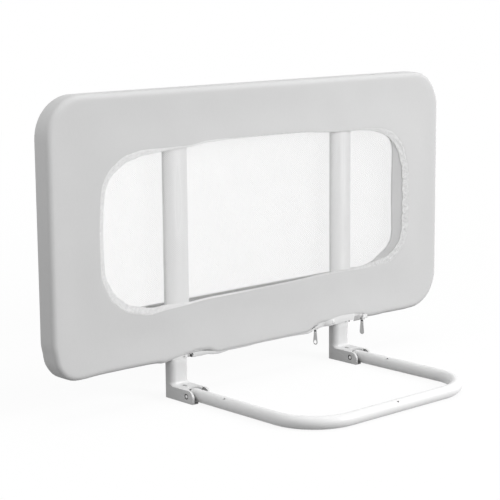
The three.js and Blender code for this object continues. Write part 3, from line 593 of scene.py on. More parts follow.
# The width of the gathered edging that shows, by the way from the window's middle in degrees
EDGING = [
    (-180, 6), (-172, 7), (-166, 10), (-160, 13), (-154, 13), (-149, 9), (-143, 3), (-130, 1.5),
    (-60, 1.5), (-32, 2.5), (-27, 6), (-23, 12), (-18, 17), (0, 18), (10, 18), (17, 16), (22, 11),
    (26, 4), (30, 0.8), (140, 0.8), (148, 3), (153, 8), (158, 11), (166, 8), (174, 6),
]
# The widths at which the edging is fully plump, and up to which it lies flat
WIDE_EDGING = 17
FLAT_EDGING = 6
# How far the stretched cover stands out from a rounded rectangle, by the way from its middle in degrees
OUTLINE = [
    (-180, -0.3), (-164, -0.3), (-160, 0), (-158.3, 0.2), (-157.6, 1.3), (-157, 3.1), (-155.5, 6.3),
    (-154.5, 7.4), (-153.5, 8.4), (-152.3, 7.2), (-151.3, 5.2), (-150.6, 3.1), (-149, 0.3), (-147.5, 0),
    (22, 0), (25.5, 1), (28, 1), (31, 0), (145, 0), (155, -0.3),
]
# The hem of the front face, above the cover's underside
HEM = [
    (-500, 0), (-450, 0), (-432, -0.6), (-392, 0), (-352, 0), (-311, -0.4), (-283, -1), (-269, -1.8),
    (-256, -3.8), (-248, -3.6), (-231, -2), (-204, 0.8), (-184, 4), (-176, 4.8), (-164, 4), (-146, 2),
    (-130, -1.6), (-116, -3.6), (-92, -3), (-55, -3.2), (-8, -2.8), (40, -3), (90, -3.6), (114, -3.8),
    (126, -1.6), (137, 3), (153, 7.6), (171, 11), (195, 14.6), (213, 15.6), (226, 15), (245, 14.2),
    (260, 12.6), (268, 10), (276, 4), (284, 1.4), (293, 0.6), (302, -0.1), (325, -0.2), (340, 0.3),
    (366, -0.2), (385, -0.4), (404, -0.8), (422, 0), (450, 0), (500, 0),
]


def way_round(ring):
    """How far along a closed ring each of its points lies, and the ring's whole length."""
    steps = np.hypot(*np.diff(ring[:, :2], axis=0, append=ring[:1, :2]).T)
    return np.concatenate([[0], np.cumsum(steps)[:-1]]), steps.sum()


def window_edge(front):
    """A window's outline in millimetres from the panel's middle and lower edge, with its directions."""
    ring = outline(WINDOW_WIDTH, WINDOW_HEIGHT, WINDOW_RADIUS)
    ring[:, 1] += WINDOW_MIDDLE
    quarters = [(side, end) for side in (-1, 1) for end in (-1, 1)]
    shape = FRONT_WINDOW if front else [
        (x * side, WINDOW_MIDDLE + z * end) for x, z in BACK_WINDOW_CORNER for side, end in quarters
    ]
    travel, length = way_round(ring)
    knots = []
    for x, z in shape:
        nearest = np.argmin(np.hypot(ring[:, 0] - x, ring[:, 1] - z))
        away = (x - ring[nearest, 0]) * ring[nearest, 2] + (z - ring[nearest, 1]) * ring[nearest, 3]
        knots.append((travel[nearest], away))
    ring[:, :2] += ring[:, 2:] * round_curve(knots, travel, period=length)[:, None]
    return ring


def waves(x, z, *parts):
    """A sum of slow waves: each part is (length in x, length in z, turn, height)."""
    return sum(
        height * np.sin(math.tau * (x / long_x + z / long_z) + turn)
        for long_x, long_z, turn, height in parts
    )


# Slow waves of the cover's faces and of the nets: length in x and in z, turn and height
FACE_WAVES = ((310, 240, 0.4, 0.3), (170, -330, 1.9, 0.22), (97, 410, 3.1, 0.12), (-140, 120, 5, 0.1))
NET_WAVES = ((230, 300, 0.7, 0.12), (-150, 190, 2.1, 0.08))


def ease(value):
    value = np.clip(value, 0, 1)
    return value * value * (3 - 2 * value)


# Cover

CLOTH = 1.1 * MM
# How far the hem turns round the lower rim, in degrees
HEM_TURN = 67.7
# How far to each side a post holds the face flat, in millimetres
POST_REACH = 34
# How deep the stretched front and back faces are hollow, in millimetres
FRONT_HOLLOW = 1.5
BACK_HOLLOW = 1.2


def cover_edge(inset=0.0):
    """The cover's outline in millimetres, moved in by the inset, with its directions."""
    width, height = PANEL_WIDTH / MM, PANEL_HEIGHT / MM
    edge = outline(width - 2 * inset, height - 2 * inset, CORNER_RADIUS - inset)
    outer = outline(width, height, CORNER_RADIUS)
    bearing = np.degrees(np.arctan2(outer[:, 1], outer[:, 0]))
    edge[:, :2] += edge[:, 2:] * round_curve(OUTLINE, bearing, period=360)[:, None]
    edge[:, 1] += height / 2
    return edge


def front_cover_rows():
    """Rows of the front cover from the window's edge out, round the rim and on to the back seam."""
    window = window_edge(front=True)
    edge = cover_edge()
    flat_window, flat_edge, way = window[:, :2], edge[:, :2], edge[:, 2:]
    rim, depth = RIM_RADIUS, HALF_DEPTH
    face_edge = flat_edge - way * rim
    under = np.arange(len(edge)) < UNDER_COUNT
    hem = np.where(under, round_curve(HEM, edge[:, 0]), 0)
    # The hem wraps less far where it is high and over the middle zip, and its edge hangs slack below.
    over_zip = 0.5 * ease((edge[:, 0] + 150) / 30) * ease((132 - edge[:, 0]) / 20)
    wrap = np.where(under, 1 - np.maximum(0.72 * ease((hem - 4) / 9), over_zip), 1)
    slack = np.where(under, np.clip(hem * 0.8, -3, 0.3), 0)
    # Under the panel the hem's end is what is set, and the turn above it follows.
    end = math.sin(math.radians(HEM_TURN)) - np.sin(np.radians(HEM_TURN * wrap))
    drop = np.where(under, hem - rim * end, 0)
    # The window's edge is turned in, and the face runs from it to the rim with a slight hollow.
    turned_in = ((0.2, 0.6), (0, 0.35), (0.6, 0.1))
    rows = [flat_row(flat_window + window[:, 2:] * out, back - depth) for out, back in turned_in]
    for share in np.concatenate([[0.02, 0.05], np.linspace(0.1, 1, 22)]):
        flat = flat_window + (face_edge - flat_window) * share
        hollow = FRONT_HOLLOW * math.sin(math.pi * share) ** 1.5
        ripple = waves(flat[:, 0], flat[:, 1], *FACE_WAVES) * math.sin(math.pi * min(1, share + 0.08))
        on_posts = sum(np.exp(-(((flat[:, 0] - x / MM) / POST_REACH) ** 2)) for x in LEG_X)
        back = (hollow + ripple) * (1 - 0.75 * on_posts)
        rows.append(flat_row(flat, back - depth, drop * ease((share - 0.25) / 0.75)))
    for angle in (12, 24, 36, 48, 58, HEM_TURN):
        turned = np.radians(angle * wrap)
        flat = face_edge + way * (rim * np.sin(turned))[:, None]
        rows.append(flat_row(flat, rim * (1 - np.cos(turned)) - depth, drop))
    hem_row = len(rows) - 1
    for turned in np.radians((76, 84, 90)):
        flat = face_edge + way * rim * math.sin(turned)
        rows.append(flat_row(flat, rim * (1 - math.cos(turned)) - depth, slack))
    zip_y = (ZIP_Y - PANEL_Y) / MM
    rows += [flat_row(flat_edge, y, slack) for y in (zip_y + 4.5, 0, 6.5, depth - rim)]
    for angle in (15, 30, 45, 60, 75, 90):
        turned = math.radians(angle)
        flat = flat_edge - way * rim * (1 - math.cos(turned))
        rows.append(flat_row(flat, depth - rim + rim * math.sin(turned), slack * (1 - angle / 180)))
    for inward, forward in ((0.6, 0.9), (0.9, 2.2)):
        rows.append(flat_row(flat_edge - way * (rim + inward), depth - forward, slack * 0.5))
    return rows, edge, hem_row


def front_cover():
    """The front face with its rim and hem, open at the zips and at the legs."""
    rows, edge, hem_row = front_cover_rows()
    x = edge[:, 0]

    def skip(row, column):
        if column >= UNDER_COUNT - 1:
            return False
        middle = (x[column] + x[column + 1]) / 2
        if hem_row <= row < hem_row + 4:
            return ZIP_OPEN[0] < middle < ZIP_OPEN[1]
        return row == hem_row + 4 and any(low < middle < high for low, high in LEG_SLOTS)

    faces = [face[::-1] for face in grid_faces(len(rows), len(edge), skip=skip)]
    piece = new_piece("cover_front_cloth", panel_points(rows), faces, "cloth")
    with edited(piece.data) as work:
        loose = [point for point in work.verts if not point.link_faces]
        bmesh.ops.delete(work, geom=loose, context="VERTS")
    make_cloth(piece, CLOTH, 50)
    return carry(piece, "panel", "cover_fabric", "cover_front")


def back_cover():
    """The back face, from its window to the seam with the front cover's rim."""
    window = window_edge(front=False)
    seam = cover_edge(RIM_RADIUS + 0.6)
    depth = HALF_DEPTH
    rows = [flat_row(window, depth - forward) for forward in (2.4, 1.2)]
    for share in np.concatenate([[0.012, 0.04], np.linspace(0.1, 0.96, 20), [0.985, 1]]):
        flat = window[:, :2] + (seam[:, :2] - window[:, :2]) * share
        hollow = BACK_HOLLOW * math.sin(math.pi * share) ** 1.5
        ripple = waves(flat[:, 0] + 70, flat[:, 1], *FACE_WAVES) * math.sin(math.pi * share)
        # The last row is tucked in at the seam.
        tuck = 1.2 if share == 1 else 0.4
        rows.append(flat_row(flat, depth - hollow - ripple - tuck))
    piece = new_piece("cover_back_cloth", panel_points(rows), grid_faces(len(rows), len(seam)), "cloth")
    make_cloth(piece, CLOTH, 50)
    # The inside faces get the lining, with its painted glow and painted shade.
    piece.data.materials.append(finishes()["lining"])
    for polygon in piece.data.polygons:
        polygon.material_index = int(polygon.normal.y < 0.5)
    return carry(piece, "panel", "cover_fabric", "cover_back")


# Windows


def window_net(name, front):
    """A flat net from the window's lower edge to its upper one, with a little slack."""
    ring = window_edge(front)
    count = len(ring)
    # The net goes a little way under the cloth round the opening.
    rim = ring[:, :2] + ring[:, 2:] * 1.2
    # The points in the middle of the two ends part the ring into a lower and an upper half.
    right = UNDER_COUNT + CORNER_STEPS - 1 + SIDE_STEPS // 2
    left = 2 * UNDER_COUNT + 3 * (CORNER_STEPS - 1) + SIDE_STEPS + SIDE_STEPS // 2
    lower = [(left + i) % count for i in range(count - left + right + 1)]
    upper = [left - i for i in range(left - right + 1)]
    level = (-1 if front else 1) * (HALF_DEPTH - 1.5)
    rows = []
    for share in np.linspace(0, 1, 25):
        flat = rim[lower] + (rim[upper] - rim[lower]) * share
        slack = waves(flat[:, 0], flat[:, 1], *NET_WAVES) * math.sin(math.pi * share)
        rows.append(flat_row(flat, level + slack))
    faces = grid_faces(len(rows), len(lower), closed=False)
    if not front:
        faces = [face[::-1] for face in faces]
    piece = new_piece(name, panel_points(rows), faces, "net" if front else "fine_net")
    with edited(piece.data) as work:
        # The first and the last column of the grid shrink to one point each.
        bmesh.ops.remove_doubles(work, verts=work.verts, dist=0.02 * MM)
    box_weave(piece.data)
    piece.data.shade_smooth()
    return piece


def edging_strip(name, front):
    """The gathered edging inside the window's edge, ruffled across its width."""
    ring = window_edge(front)
    travel, _ = way_round(ring)
    bearing = np.degrees(np.arctan2(ring[:, 1] - WINDOW_MIDDLE, ring[:, 0]))
    width = round_curve(EDGING, bearing, period=360) if front else np.full(len(ring), 1.6)
    # Wide stretches are plump and crumpled, more so at the right, and narrow ones lie flat.
    plump = np.clip(width / WIDE_EDGING, 0.1, 1)
    crumple = np.clip((width - FLAT_EDGING) / (WIDE_EDGING - FLAT_EDGING), 0.12, 1)
    crumple = crumple * np.where(ring[:, 0] < 0, 0.35, 0.75)
    level = HALF_DEPTH - 0.55
    # Crinkles of several lengths run along the edging, at turns drawn with a fixed seed.
    phase = np.random.default_rng(11).uniform(0, math.tau, 8)
    ragged = np.sin(travel / 5.2 + phase[6]) + np.sin(travel / 2.3 + phase[7])
    rows = []
    for share in np.linspace(0, 1, 15):
        crinkle = sum(
            np.sin(travel / length + lean * share + turn)
            for length, lean, turn in zip((1.9, 1.3, 2.9, 0.95), (5, -7, 3, 9), phase)
        ) + 0.8 * np.sin(travel / 3.4 + phase[4]) * math.sin(7 * share + phase[5])
        reach = -2.2 + (width + 2.2 + 1.1 * ragged * crumple * share) * share
        puff = 0.75 * ease(share * 5) * plump**0.5 * (1 - 0.75 * share)
        lift = puff + 0.5 * crinkle * crumple * math.sin(math.pi * (0.02 + 0.93 * share))
        flat = ring[:, :2] - ring[:, 2:] * reach[:, None]
        rows.append(flat_row(flat, (level + lift) * (-1 if front else 1)))
    faces = grid_faces(len(rows), len(ring))
    if front:
        faces = [face[::-1] for face in faces]
    piece = new_piece(name, panel_points(rows), faces, "edging")
    make_cloth(piece, 0.35 * MM, 60)
    return piece


# Zips

# The lowest edge of the zip's tape, over the cover's underside
ZIP_FOLD = [
    (-190, -1.7), (-180, -3.3), (-172, -3.1), (-165, -3.7), (-150, -3.3), (-143, -4.1), (-135, -5.5),
    (-128, -6.1), (-120, -6.9), (-113, -6.5), (-105, -5.7), (-98, -4.9), (-90, -4.4), (-75, -4.7),
    (-43, -4.7), (-28, -3.8), (-4, -3.5), (20, -3.9), (44, -3.9), (61, -4.2), (77, -4.6), (94, -5.5),
    (110, -6.2), (119, -6.4), (127, -4.7), (136, -1.3), (150, -0.4), (168, 0), (187, 1.4), (211, 2.8),
    (230, 3.2), (241, 2.6), (252, -0.6), (264, -1.2), (280, 0.4), (290, 1.8), (302, 1.2), (340, 1.6),
    (385, 0.9), (425, 1.2),
]
# Inputs of the tooth rows: the usual ones, and those of the closed and of the open zip
TOOTH_SIZES = {
    "Pitch": 1.1 * MM,
    "Tooth Width": 2.6 * MM,
    "Tooth Length": 0.8 * MM,
    "Tooth Height": 2.2 * MM,
    "Row Shift": 0.42,
    "Lean": 0.0,
}
CLOSED_TEETH = {"Tooth Width": 1.6 * MM, "Row Shift": 0.25}
OPEN_TEETH = {
    "Pitch": 2.5 * MM,
    "Tooth Width": 1.5 * MM,
    "Tooth Length": 1.5 * MM,
    "Tooth Height": 4.6 * MM,
    "Row Shift": 0.0,
    "Lean": 0.5,
}
# The stretch of open zip that hangs by the right leg, and the part of it whose teeth show
OPEN_ZIP = (148, 278)
OPEN_TEETH_SPAN = (151, 190)
# Rounding of the sliders' edges, and how much of a slider's top is enamelled
SLIDER_EDGE = 0.25 * MM
SLIDER_TOP = 3.6 * MM


def tooth_row_tree():
    """Geometry nodes that set moulded teeth along a curve, on two rows that take turns."""
    group = bpy.data.node_groups.new("zip_tooth_rows", "GeometryNodeTree")

    def socket(name, kind, way="INPUT"):
        return group.interface.new_socket(name, in_out=way, socket_type=f"NodeSocket{kind}")

    socket("Path", "Geometry")
    for name, default in TOOTH_SIZES.items():
        socket(name, "Float").default_value = default
    socket("Finish", "Material")
    socket("Teeth", "Geometry", "OUTPUT")
    tree = Tree(group)
    given = group.nodes.new("NodeGroupInput")
    value = {output.name: Value(tree, output) for output in given.outputs if output.name}
    inputs = {"Curve": value["Path"], "Length": value["Pitch"]}
    spots = tree.add("GeometryNodeCurveToPoints", {"mode": "LENGTH"}, inputs)
    turn = tree.add("GeometryNodeInputIndex").operate("MODULO", 2.0) * 2 - 1
    shift = turn * (value["Tooth Width"] * value["Row Shift"])
    shift = tree.add("ShaderNodeCombineXYZ", inputs={"Y": shift})
    lean = tree.add("ShaderNodeCombineXYZ", inputs={"Y": value["Lean"]})
    placed = tree.add("GeometryNodeSetPosition", inputs={"Geometry": spots, "Offset": shift})
    sizes = {axis: value[f"Tooth {way}"] for axis, way in zip("XYZ", ("Length", "Width", "Height"))}
    size = tree.add("ShaderNodeCombineXYZ", inputs=sizes)
    tooth = tree.add("GeometryNodeMeshIcoSphere", inputs={"Radius": 0.62, "Subdivisions": 1})
    tooth = tree.add("GeometryNodeTransform", inputs={"Geometry": tooth, "Scale": size})
    inputs = {"Points": placed, "Instance": tooth, "Rotation": lean}
    teeth = tree.add("GeometryNodeInstanceOnPoints", inputs=inputs)
    solid = tree.add("GeometryNodeRealizeInstances", inputs={"Geometry": teeth})
    inputs = {"Geometry": solid, "Material": value["Finish"]}
    painted = tree.add("GeometryNodeSetMaterial", inputs=inputs)
    out = group.nodes.new("NodeGroupOutput")
    group.links.new(painted.socket, out.inputs["Teeth"])
    return group


def grow(name, group, path, inputs):
    """Runs a tree on a path and returns a plain mesh."""
    curve = bpy.data.curves.new(name, "CURVE")
    curve.dimensions = "3D"
    spline = curve.splines.new("POLY")
    spline.points.add(len(path) - 1)
    for point, place in zip(spline.points, path):
        point.co = (*place, 1)
    source = link(f"{name}_path", curve)
    modifier = source.modifiers.new("grow", "NODES")
    modifier.node_group = group
    sockets = {item.name: item.identifier for item in group.interface.items_tree if item.in_out == "INPUT"}
    for key, setting in inputs.items():
        modifier[sockets[key]] = setting
    graph = bpy.context.evaluated_depsgraph_get()
    mesh = bpy.data.meshes.new_from_object(source.evaluated_get(graph))
    bpy.data.objects.remove(source)
    mesh.name = name
    return mesh


def zip_lines(x):
    """Levels of the zip's seam and fold, and how far back the seam and the fold lie, in millimetres."""
    # The closed middle stretch, the open one that hangs in front by the right leg, and the right one
    middle = ease((x + 190) / 8) * ease((175 - x) / 25)
    in_front = ease((x - 152) / 32) * ease((264 - x) / 20)
    right = ease((x - 276) / 10)
    fold = round_curve(ZIP_FOLD, x)
    foot = -13.4 - np.maximum(6.2 * middle, 10.2 * in_front) - 2 * right
    front = -20.5 - 1.9 * in_front + 3.9 * right
    return np.maximum(round_curve(HEM, x) + 1.2, fold + 1), fold, front, foot


def zip_strip(name, start, end, closed=True):
    """Tape of a zip. It hangs from the hem to its fold and, where it is closed, runs back to the seam."""
    x = np.arange(start, end + 0.1, 2.0)
    rows = []
    for at, seam, fold, front, foot in zip(x, *zip_lines(x)):
        row = []
        for share in np.linspace(0, 1, 7):
            back = front + (foot - front) * share - 0.5 * math.sin(math.pi * share)
            row.append((at, back, seam + (fold - seam) * share))
        if closed:
            # The inner leaf goes up behind the outer one and back above the sliders' way.
            for back, share in ((foot + 1, 0.1), (foot + 1.2, 0.8), (foot + 2, 1), (-11, 1), (-6.4, 1)):
                row.append((at, back, fold + (0.6 - fold) * share))
        rows.append(row)
    faces = turned_over(grid_faces(len(rows), len(rows[0]), closed=False))
    piece = new_piece(name, panel_points(rows), faces, "tape")
    make_cloth(piece, 0.6 * MM, 60, offset=0)
    return piece


def zip_teeth(name, group, x, sizes, back=1.7, rise=1.8):
    """Teeth along the zip, behind and above the tape's fold by millimetres."""
    _, fold, _, foot = zip_lines(x)
    path = [panel_point(*point) for point in zip(x, foot + back, fold + rise)]
    mesh = grow(name, group, path, {"Finish": finishes()["teeth"], **sizes})
    mesh.shade_smooth()
    return carry(new_object(name, mesh, "teeth"), "panel", "zip_tape")


def folded_tab(name, finish, middle, half, front):
    """A small pillow of folded cloth, given its middle and half sizes as millimetres along and up."""
    steps = 9
    rows = []
    for side in (1, -1):
        for v in np.linspace(-1, 1, steps):
            row = []
            for u in np.linspace(-1, 1, steps):
                fold = (1 - u**4) * (1 - v**4)
                back = front - side * 1.2 * fold**0.5 - 0.3 * math.sin(5 * u + 3 * v)
                row.append((middle[0] + half[0] * u * (1 - 0.08 * v), back, middle[1] + half[1] * v))
            rows.append(row)
    faces = grid_faces(steps, steps, closed=False)
    faces += [tuple(i + steps * steps for i in face) for face in turned_over(faces)]
    tab = new_piece(name, panel_points(rows), faces, finish)
    smooth_faces(tab.data, 60)
    return carry(tab, "panel", "zip_tape")


def painted_slider(node):
    """A slider in white enamel, with the dark metal of its loop below."""
    piece = refined(node, SLIDER_EDGE, "enamel", segments=2)
    piece.data.materials.append(finishes()["dark_metal"])
    loop_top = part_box(node)[1][2] - SLIDER_TOP
    for polygon in piece.data.polygons:
        polygon.material_index = int(polygon.center.z < loop_top)
    return piece


# Metalwork

# The bracket's neck and counterbores, as the frame's solids have them
NECK_DEPTH = 18 * MM
NECK_CORNER = 13 * MM
ARM_TOP = 24 * MM
COUNTERBORE = 5.2 * MM
COUNTERBORE_DEPTH = 1.8 * MM
EAR = 4.5 * MM
ROOF = 4 * MM
# How far the neck's foot flares out, and where it makes room for the lock button's slot
FLARE = 7.3 * MM
FLARE_AT_SLOT = 6 * MM
SLOT_HALF_WIDTH = 2.5 * MM
# How far the neck's skin lies outside the solid
SKIN = 0.03 * MM
# The liner's bore, and the domed end of the rivet in it
LINER_BORE = 3.1 * MM
RIVET_HEAD = 2.1 * MM
# Wall of the posts, and how full and how finely cut their oval is
POST_WALL = 1.6 * MM
FULLNESS = 2.15
OVAL_STEPS = 80
# Wall, bend, holes and steps round of the base bar
BAR_WALL = 1.5 * MM
BAR_BEND = 90 * MM
BAR_HOLE = 2.1 * MM
BAR_STEPS = 48
# Where the bar's holes are, and how many degrees they are turned off its top
LEG_HOLE_REACH = 150 * MM
LEG_HOLE_TURN = -30
FRONT_HOLE_X = -8 * MM
FRONT_HOLE_TURN = 35


def refined(node, width, finish, segments=3):
    """A copy of a CAD node with its edges rounded as a casting's are."""
    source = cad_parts[node]
    name = f"{node}_finished"
    mesh = source.data.copy()
    mesh.transform(source.matrix_world)
    mesh.name = name
    with edited(mesh) as work:
        bmesh.ops.remove_doubles(work, verts=work.verts, dist=0.004 * MM)
        limits = {"angle_limit": math.radians(0.6), "delimit": {"NORMAL"}}
        bmesh.ops.dissolve_limit(work, verts=work.verts, edges=work.edges, **limits)
    piece = new_object(name, mesh, finish)
    if width:
        bevel = piece.modifiers.new("edges", "BEVEL")
        bevel.width = width
        bevel.segments = segments
        bevel.limit_method = "ANGLE"
        bevel.angle_limit = math.radians(40)
        bevel.miter_outer = "MITER_ARC"
        apply_modifiers(piece)
    smooth_faces(piece.data, 42)
    return piece


def paint_pocket_shade(casting, low, high):
    """The casting's inside, between its ears and under its roof, gets painted shade: a darker coat."""
    middle, half = (low.x + high.x) / 2, (high.x - low.x) / 2
    casting.data.materials.append(finishes()["thin_coat"])
    for polygon in casting.data.polygons:
        inside = abs(polygon.center.x - middle) < half - EAR + 0.1 * MM
        polygon.material_index = int(inside and polygon.center.z < ARM_TOP - ROOF + 0.1 * MM)


def neck_section(half, front, back, spread):
    """The neck's outline at one level, its front and sides moved out by the spread, up to the ears."""
    points = []
    room = SLOT_HALF_WIDTH + 0.2 * MM
    for angle in np.radians(np.linspace(0, 90, 13)):
        across = half - NECK_CORNER + (NECK_CORNER + spread) * math.cos(angle)
        deep = front + NECK_CORNER - (NECK_CORNER + spread) * math.sin(angle)
        points.append((min(across, half), deep))
    points += [(room, front - spread), (room, front - min(spread, FLARE_AT_SLOT))]
    points += [(-x, y) for x, y in reversed(points)]
    cut = 0.7 * MM
    return points + [(-half, back - cut), (cut - half, back), (half - cut, back), (half, back - cut)]


def neck_skin(side):
    """The neck as a casting has it: round front corners, and a foot that flares out into the arm."""
    low, high = box(f"bracket_{side}")
    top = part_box(f"post_{side}")[0][2] - 0.3 * MM
    middle, half = (low.x + high.x) / 2, (high.x - low.x) / 2 + SKIN
    front = high.y - NECK_DEPTH - SKIN
    levels = [(ARM_TOP - 2 * MM, FLARE)]
    for angle in np.radians(np.linspace(0, 90, 9)):
        levels.append((ARM_TOP + FLARE * (1 - math.cos(angle)), FLARE * (1 - math.sin(angle))))
    levels += [(z, 0) for z in np.linspace(ARM_TOP + FLARE + 4 * MM, top - 0.9 * MM, 6)]
    levels += [(top - 0.3 * MM, -0.25 * MM), (top, -0.9 * MM)]
    points = []
    for z, spread in levels:
        shrink = min(spread, 0)
        section = neck_section(half + shrink, front, high.y + SKIN + shrink, spread)
        points += [(middle + x, y, z) for x, y in section]
    count = len(section)
    faces = [tuple(range(count)), *turned_over(grid_faces(len(levels), count))]
    faces.append(tuple(range(len(points) - count, len(points)))[::-1])
    return new_mesh(f"neck_{side}", points, faces)


def turned_ring(name, centre, profile, finish):
    """A ring turned about X: its profile is a closed list of (place along X, radius)."""
    steps = 32
    points = []
    for angle in full_turn(steps):
        turned = [(x - centre.x, r * math.cos(angle), r * math.sin(angle)) for x, r in profile]
        points += [centre + Vector(point) for point in turned]
    faces = grid_faces(steps + 1, len(profile))
    faces = [tuple(i % len(points) for i in face) for face in faces]
    piece = new_piece(name, points, faces, finish)
    with edited(piece.data) as work:
        bmesh.ops.remove_doubles(work, verts=work.verts, dist=0.001 * MM)
        bmesh.ops.recalc_face_normals(work, faces=work.faces)
    smooth_faces(piece.data, 35)
    return piece


def pin_fittings(side):
    """A dark liner in each counterbore, and the bright domed end of the rivet in its middle."""
    low, high = box(f"pivot_pin_{side}")
    middle = (low + high) / 2
    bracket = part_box(f"bracket_{side}")
    inner, outer, head = LINER_BORE, COUNTERBORE, RIVET_HEAD
    for out, face, pin, word in ((-1, bracket[0][0], low.x, "left"), (1, bracket[1][0], high.x, "right")):
        floor = face - out * COUNTERBORE_DEPTH
        rim, bottom = face - out * 0.15 * MM, floor + out * 0.2 * MM
        liner = [
            (floor, inner), (floor, outer - 0.05 * MM), (rim, outer - 0.05 * MM),
            (rim, outer - 0.4 * MM), (bottom, outer - 0.5 * MM), (bottom, inner),
        ]
        foot = pin - out * 0.2 * MM
        dome = [(foot, 0), (foot, head)]
        for angle in np.radians(np.linspace(10, 90, 7)):
            dome.append((pin + out * 0.28 * MM * math.sin(angle), head * math.cos(angle)))
        piece = turned_ring(f"pin_liner_{side}_{word}", middle, liner, "liner")
        carry(piece, "panel", "nylon")
        piece = turned_ring(f"pin_dome_{side}_{word}", middle, dome, "steel")
        carry(piece, "panel", "steel")


def crowned_oval(width, depth):
    """Points round a flat oval whose wide faces are slightly crowned, width along X."""
    angles = full_turn(OVAL_STEPS)
    parts = [(np.cos(angles), width), (np.sin(angles), depth)]
    return list(zip(*(np.copysign(abs(part) ** (2 / FULLNESS), part) * size / 2 for part, size in parts)))


def tube_mesh(name, stations, sections):
    """A tube through stations, with its outer wall, inner wall and both end faces."""
    count = len(sections[0])
    points = []
    for section in sections:
        for centre, side, up in stations:
            points += [centre + side * a + up * b for a, b in section]
    run = len(stations) * count
    faces = grid_faces(len(stations), count)
    faces += [tuple(i + run for i in face[::-1]) for face in faces]
    for start, turn in ((0, 1), (run - count, -1)):
        for i in range(count):
            a, b = start + i, start + (i + 1) % count
            faces.append((a, a + run, b + run, b)[::turn])
    return new_mesh(name, points, faces)


def post_tube(side):
    """A flat-oval post with a smooth wall."""
    low, high = box(f"post_{side}")
    centre, size = (low + high) / 2, high - low
    stations = [
        (Vector((centre.x, centre.y, z)), Vector((1, 0, 0)), Vector((0, 1, 0)))
        for z in np.linspace(low.z, high.z, 9)
    ]
    sections = [crowned_oval(size.x - 2 * inset, size.y - 2 * inset) for inset in (0, POST_WALL)]
    name = f"post_{side}_tube"
    piece = new_object(name, tube_mesh(name, stations, sections), "paint")
    smooth_faces(piece.data, 40)
    return carry(piece, "panel", "painted_frame", f"post_{side}")


def base_bar():
    """The base bar: a round tube bent twice, with its three small holes."""
    low, high = box("base_tube")
    radius = (high.z - low.z) / 2
    level = (low.z + high.z) / 2
    left, right = low.x + radius, high.x - radius
    front, back = low.y + radius, high.y
    bend_end = front + BAR_BEND
    bend = [(math.sin(angle), math.cos(angle)) for angle in np.radians(np.linspace(3, 87, 28))]
    path = [(left, y, (0, -1, 0)) for y in np.linspace(back, bend_end, 12)]
    for sine, cosine in bend:
        path.append((left + BAR_BEND * (1 - cosine), front + BAR_BEND * (1 - sine), (sine, -cosine, 0)))
    path += [(x, front, (1, 0, 0)) for x in np.linspace(left + BAR_BEND, right - BAR_BEND, 14)]
    for sine, cosine in bend:
        path.append((right - BAR_BEND * (1 - sine), front + BAR_BEND * (1 - cosine), (cosine, sine, 0)))
    path += [(right, y, (0, 1, 0)) for y in np.linspace(bend_end, back, 12)]
    stations = [(Vector((x, y, level)), UP, Vector(way).cross(UP) * -1) for x, y, way in path]
    turn = full_turn(BAR_STEPS)
    sizes = (radius, radius - BAR_WALL)
    rings = [[(size * math.cos(angle), size * math.sin(angle)) for angle in turn] for size in sizes]
    piece = new_object("base_bar_tube", tube_mesh("base_bar_tube", stations, rings), "tube")
    drill_holes(piece, radius, level, (left, right), front)
    smooth_faces(piece.data, 35)
    return carry(piece, "base", "painted_frame", "base_tube")


def drill_holes(piece, radius, level, legs, front):
    """Cuts the small holes in the bar's top: one on each leg and one in the middle of the front."""
    holes = [(x, PANEL_Y - LEG_HOLE_REACH, LEG_HOLE_TURN, "Y") for x in legs]
    holes.append((FRONT_HOLE_X, front, FRONT_HOLE_TURN, "X"))
    mesh = bpy.data.meshes.new("hole_cutters")
    with edited(mesh) as work:
        for x, y, angle, axis in holes:
            turn = Matrix.Translation((x, y, level)) @ Matrix.Rotation(math.radians(angle), 4, axis)
            place = turn @ Matrix.Translation((0, 0, radius))
            size = {"radius1": BAR_HOLE, "radius2": BAR_HOLE, "depth": radius * 1.4}
            bmesh.ops.create_cone(work, cap_ends=True, segments=20, matrix=place, **size)
    cutter = link("hole_cutters", mesh)
    boolean = piece.modifiers.new("holes", "BOOLEAN")
    boolean.operation = "DIFFERENCE"
    boolean.solver = "EXACT"
    boolean.object = cutter
    apply_modifiers(piece)
    bpy.data.objects.remove(cutter)


def repaint(finish, *nodes):
    """Gives carried CAD nodes their finish."""
    for node in nodes:
        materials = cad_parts[node].data.materials
        materials.clear()
        materials.append(finishes()[finish])


# Stage

FLOOR_SIZE = 60
# How fast the floor's faint shade fades with distance, and how strong it is by the part
SHADE_FALL = -0.35
SHADE_DEPTH = 0.1
PANEL_MIDDLE = Vector((0, PANEL_Y, PANEL_Z + PANEL_HEIGHT / 2))
# Each lamp's place and size in metres
LAMPS = {
    "key": ((2.4, -4.4, 2.6), 2.6),
    "top": ((0.2, -0.4, 9), 6),
    "side": ((-1.3, PANEL_Y, 0.9), 0.6),
    "right": ((3.6, PANEL_Y - 1.2, 0.9), 1.4),
}
CAMERA_PLACE = Vector((-1.9994, PANEL_Y - 2.1845, 0.7683))
CAMERA_TARGET = Vector((-0.01967, PANEL_Y, 0.25111))
CAMERA_LENS = 111.63
CAMERA_ROLL = -0.0081058


def area_lamp(name, place, size, power):
    """A square lamp that looks at the panel's middle."""
    light = bpy.data.lights.new(name, "AREA")
    light.shape = "SQUARE"
    light.size = size
    light.energy = power
    lamp = link(name, light)
    lamp.location = place
    lamp.rotation_euler = (PANEL_MIDDLE - Vector(place)).to_track_quat("-Z", "Y").to_euler()


def seen_directly(tree):
    """1 where the camera, a reflection or a refraction looks straight at the surface."""
    path = tree.add("ShaderNodeLightPath").socket.node
    rays = [Value(tree, path.outputs[f"Is {kind} Ray"]) for kind in ("Camera", "Glossy", "Transmission")]
    return rays[0].largest(rays[1]).largest(rays[2])


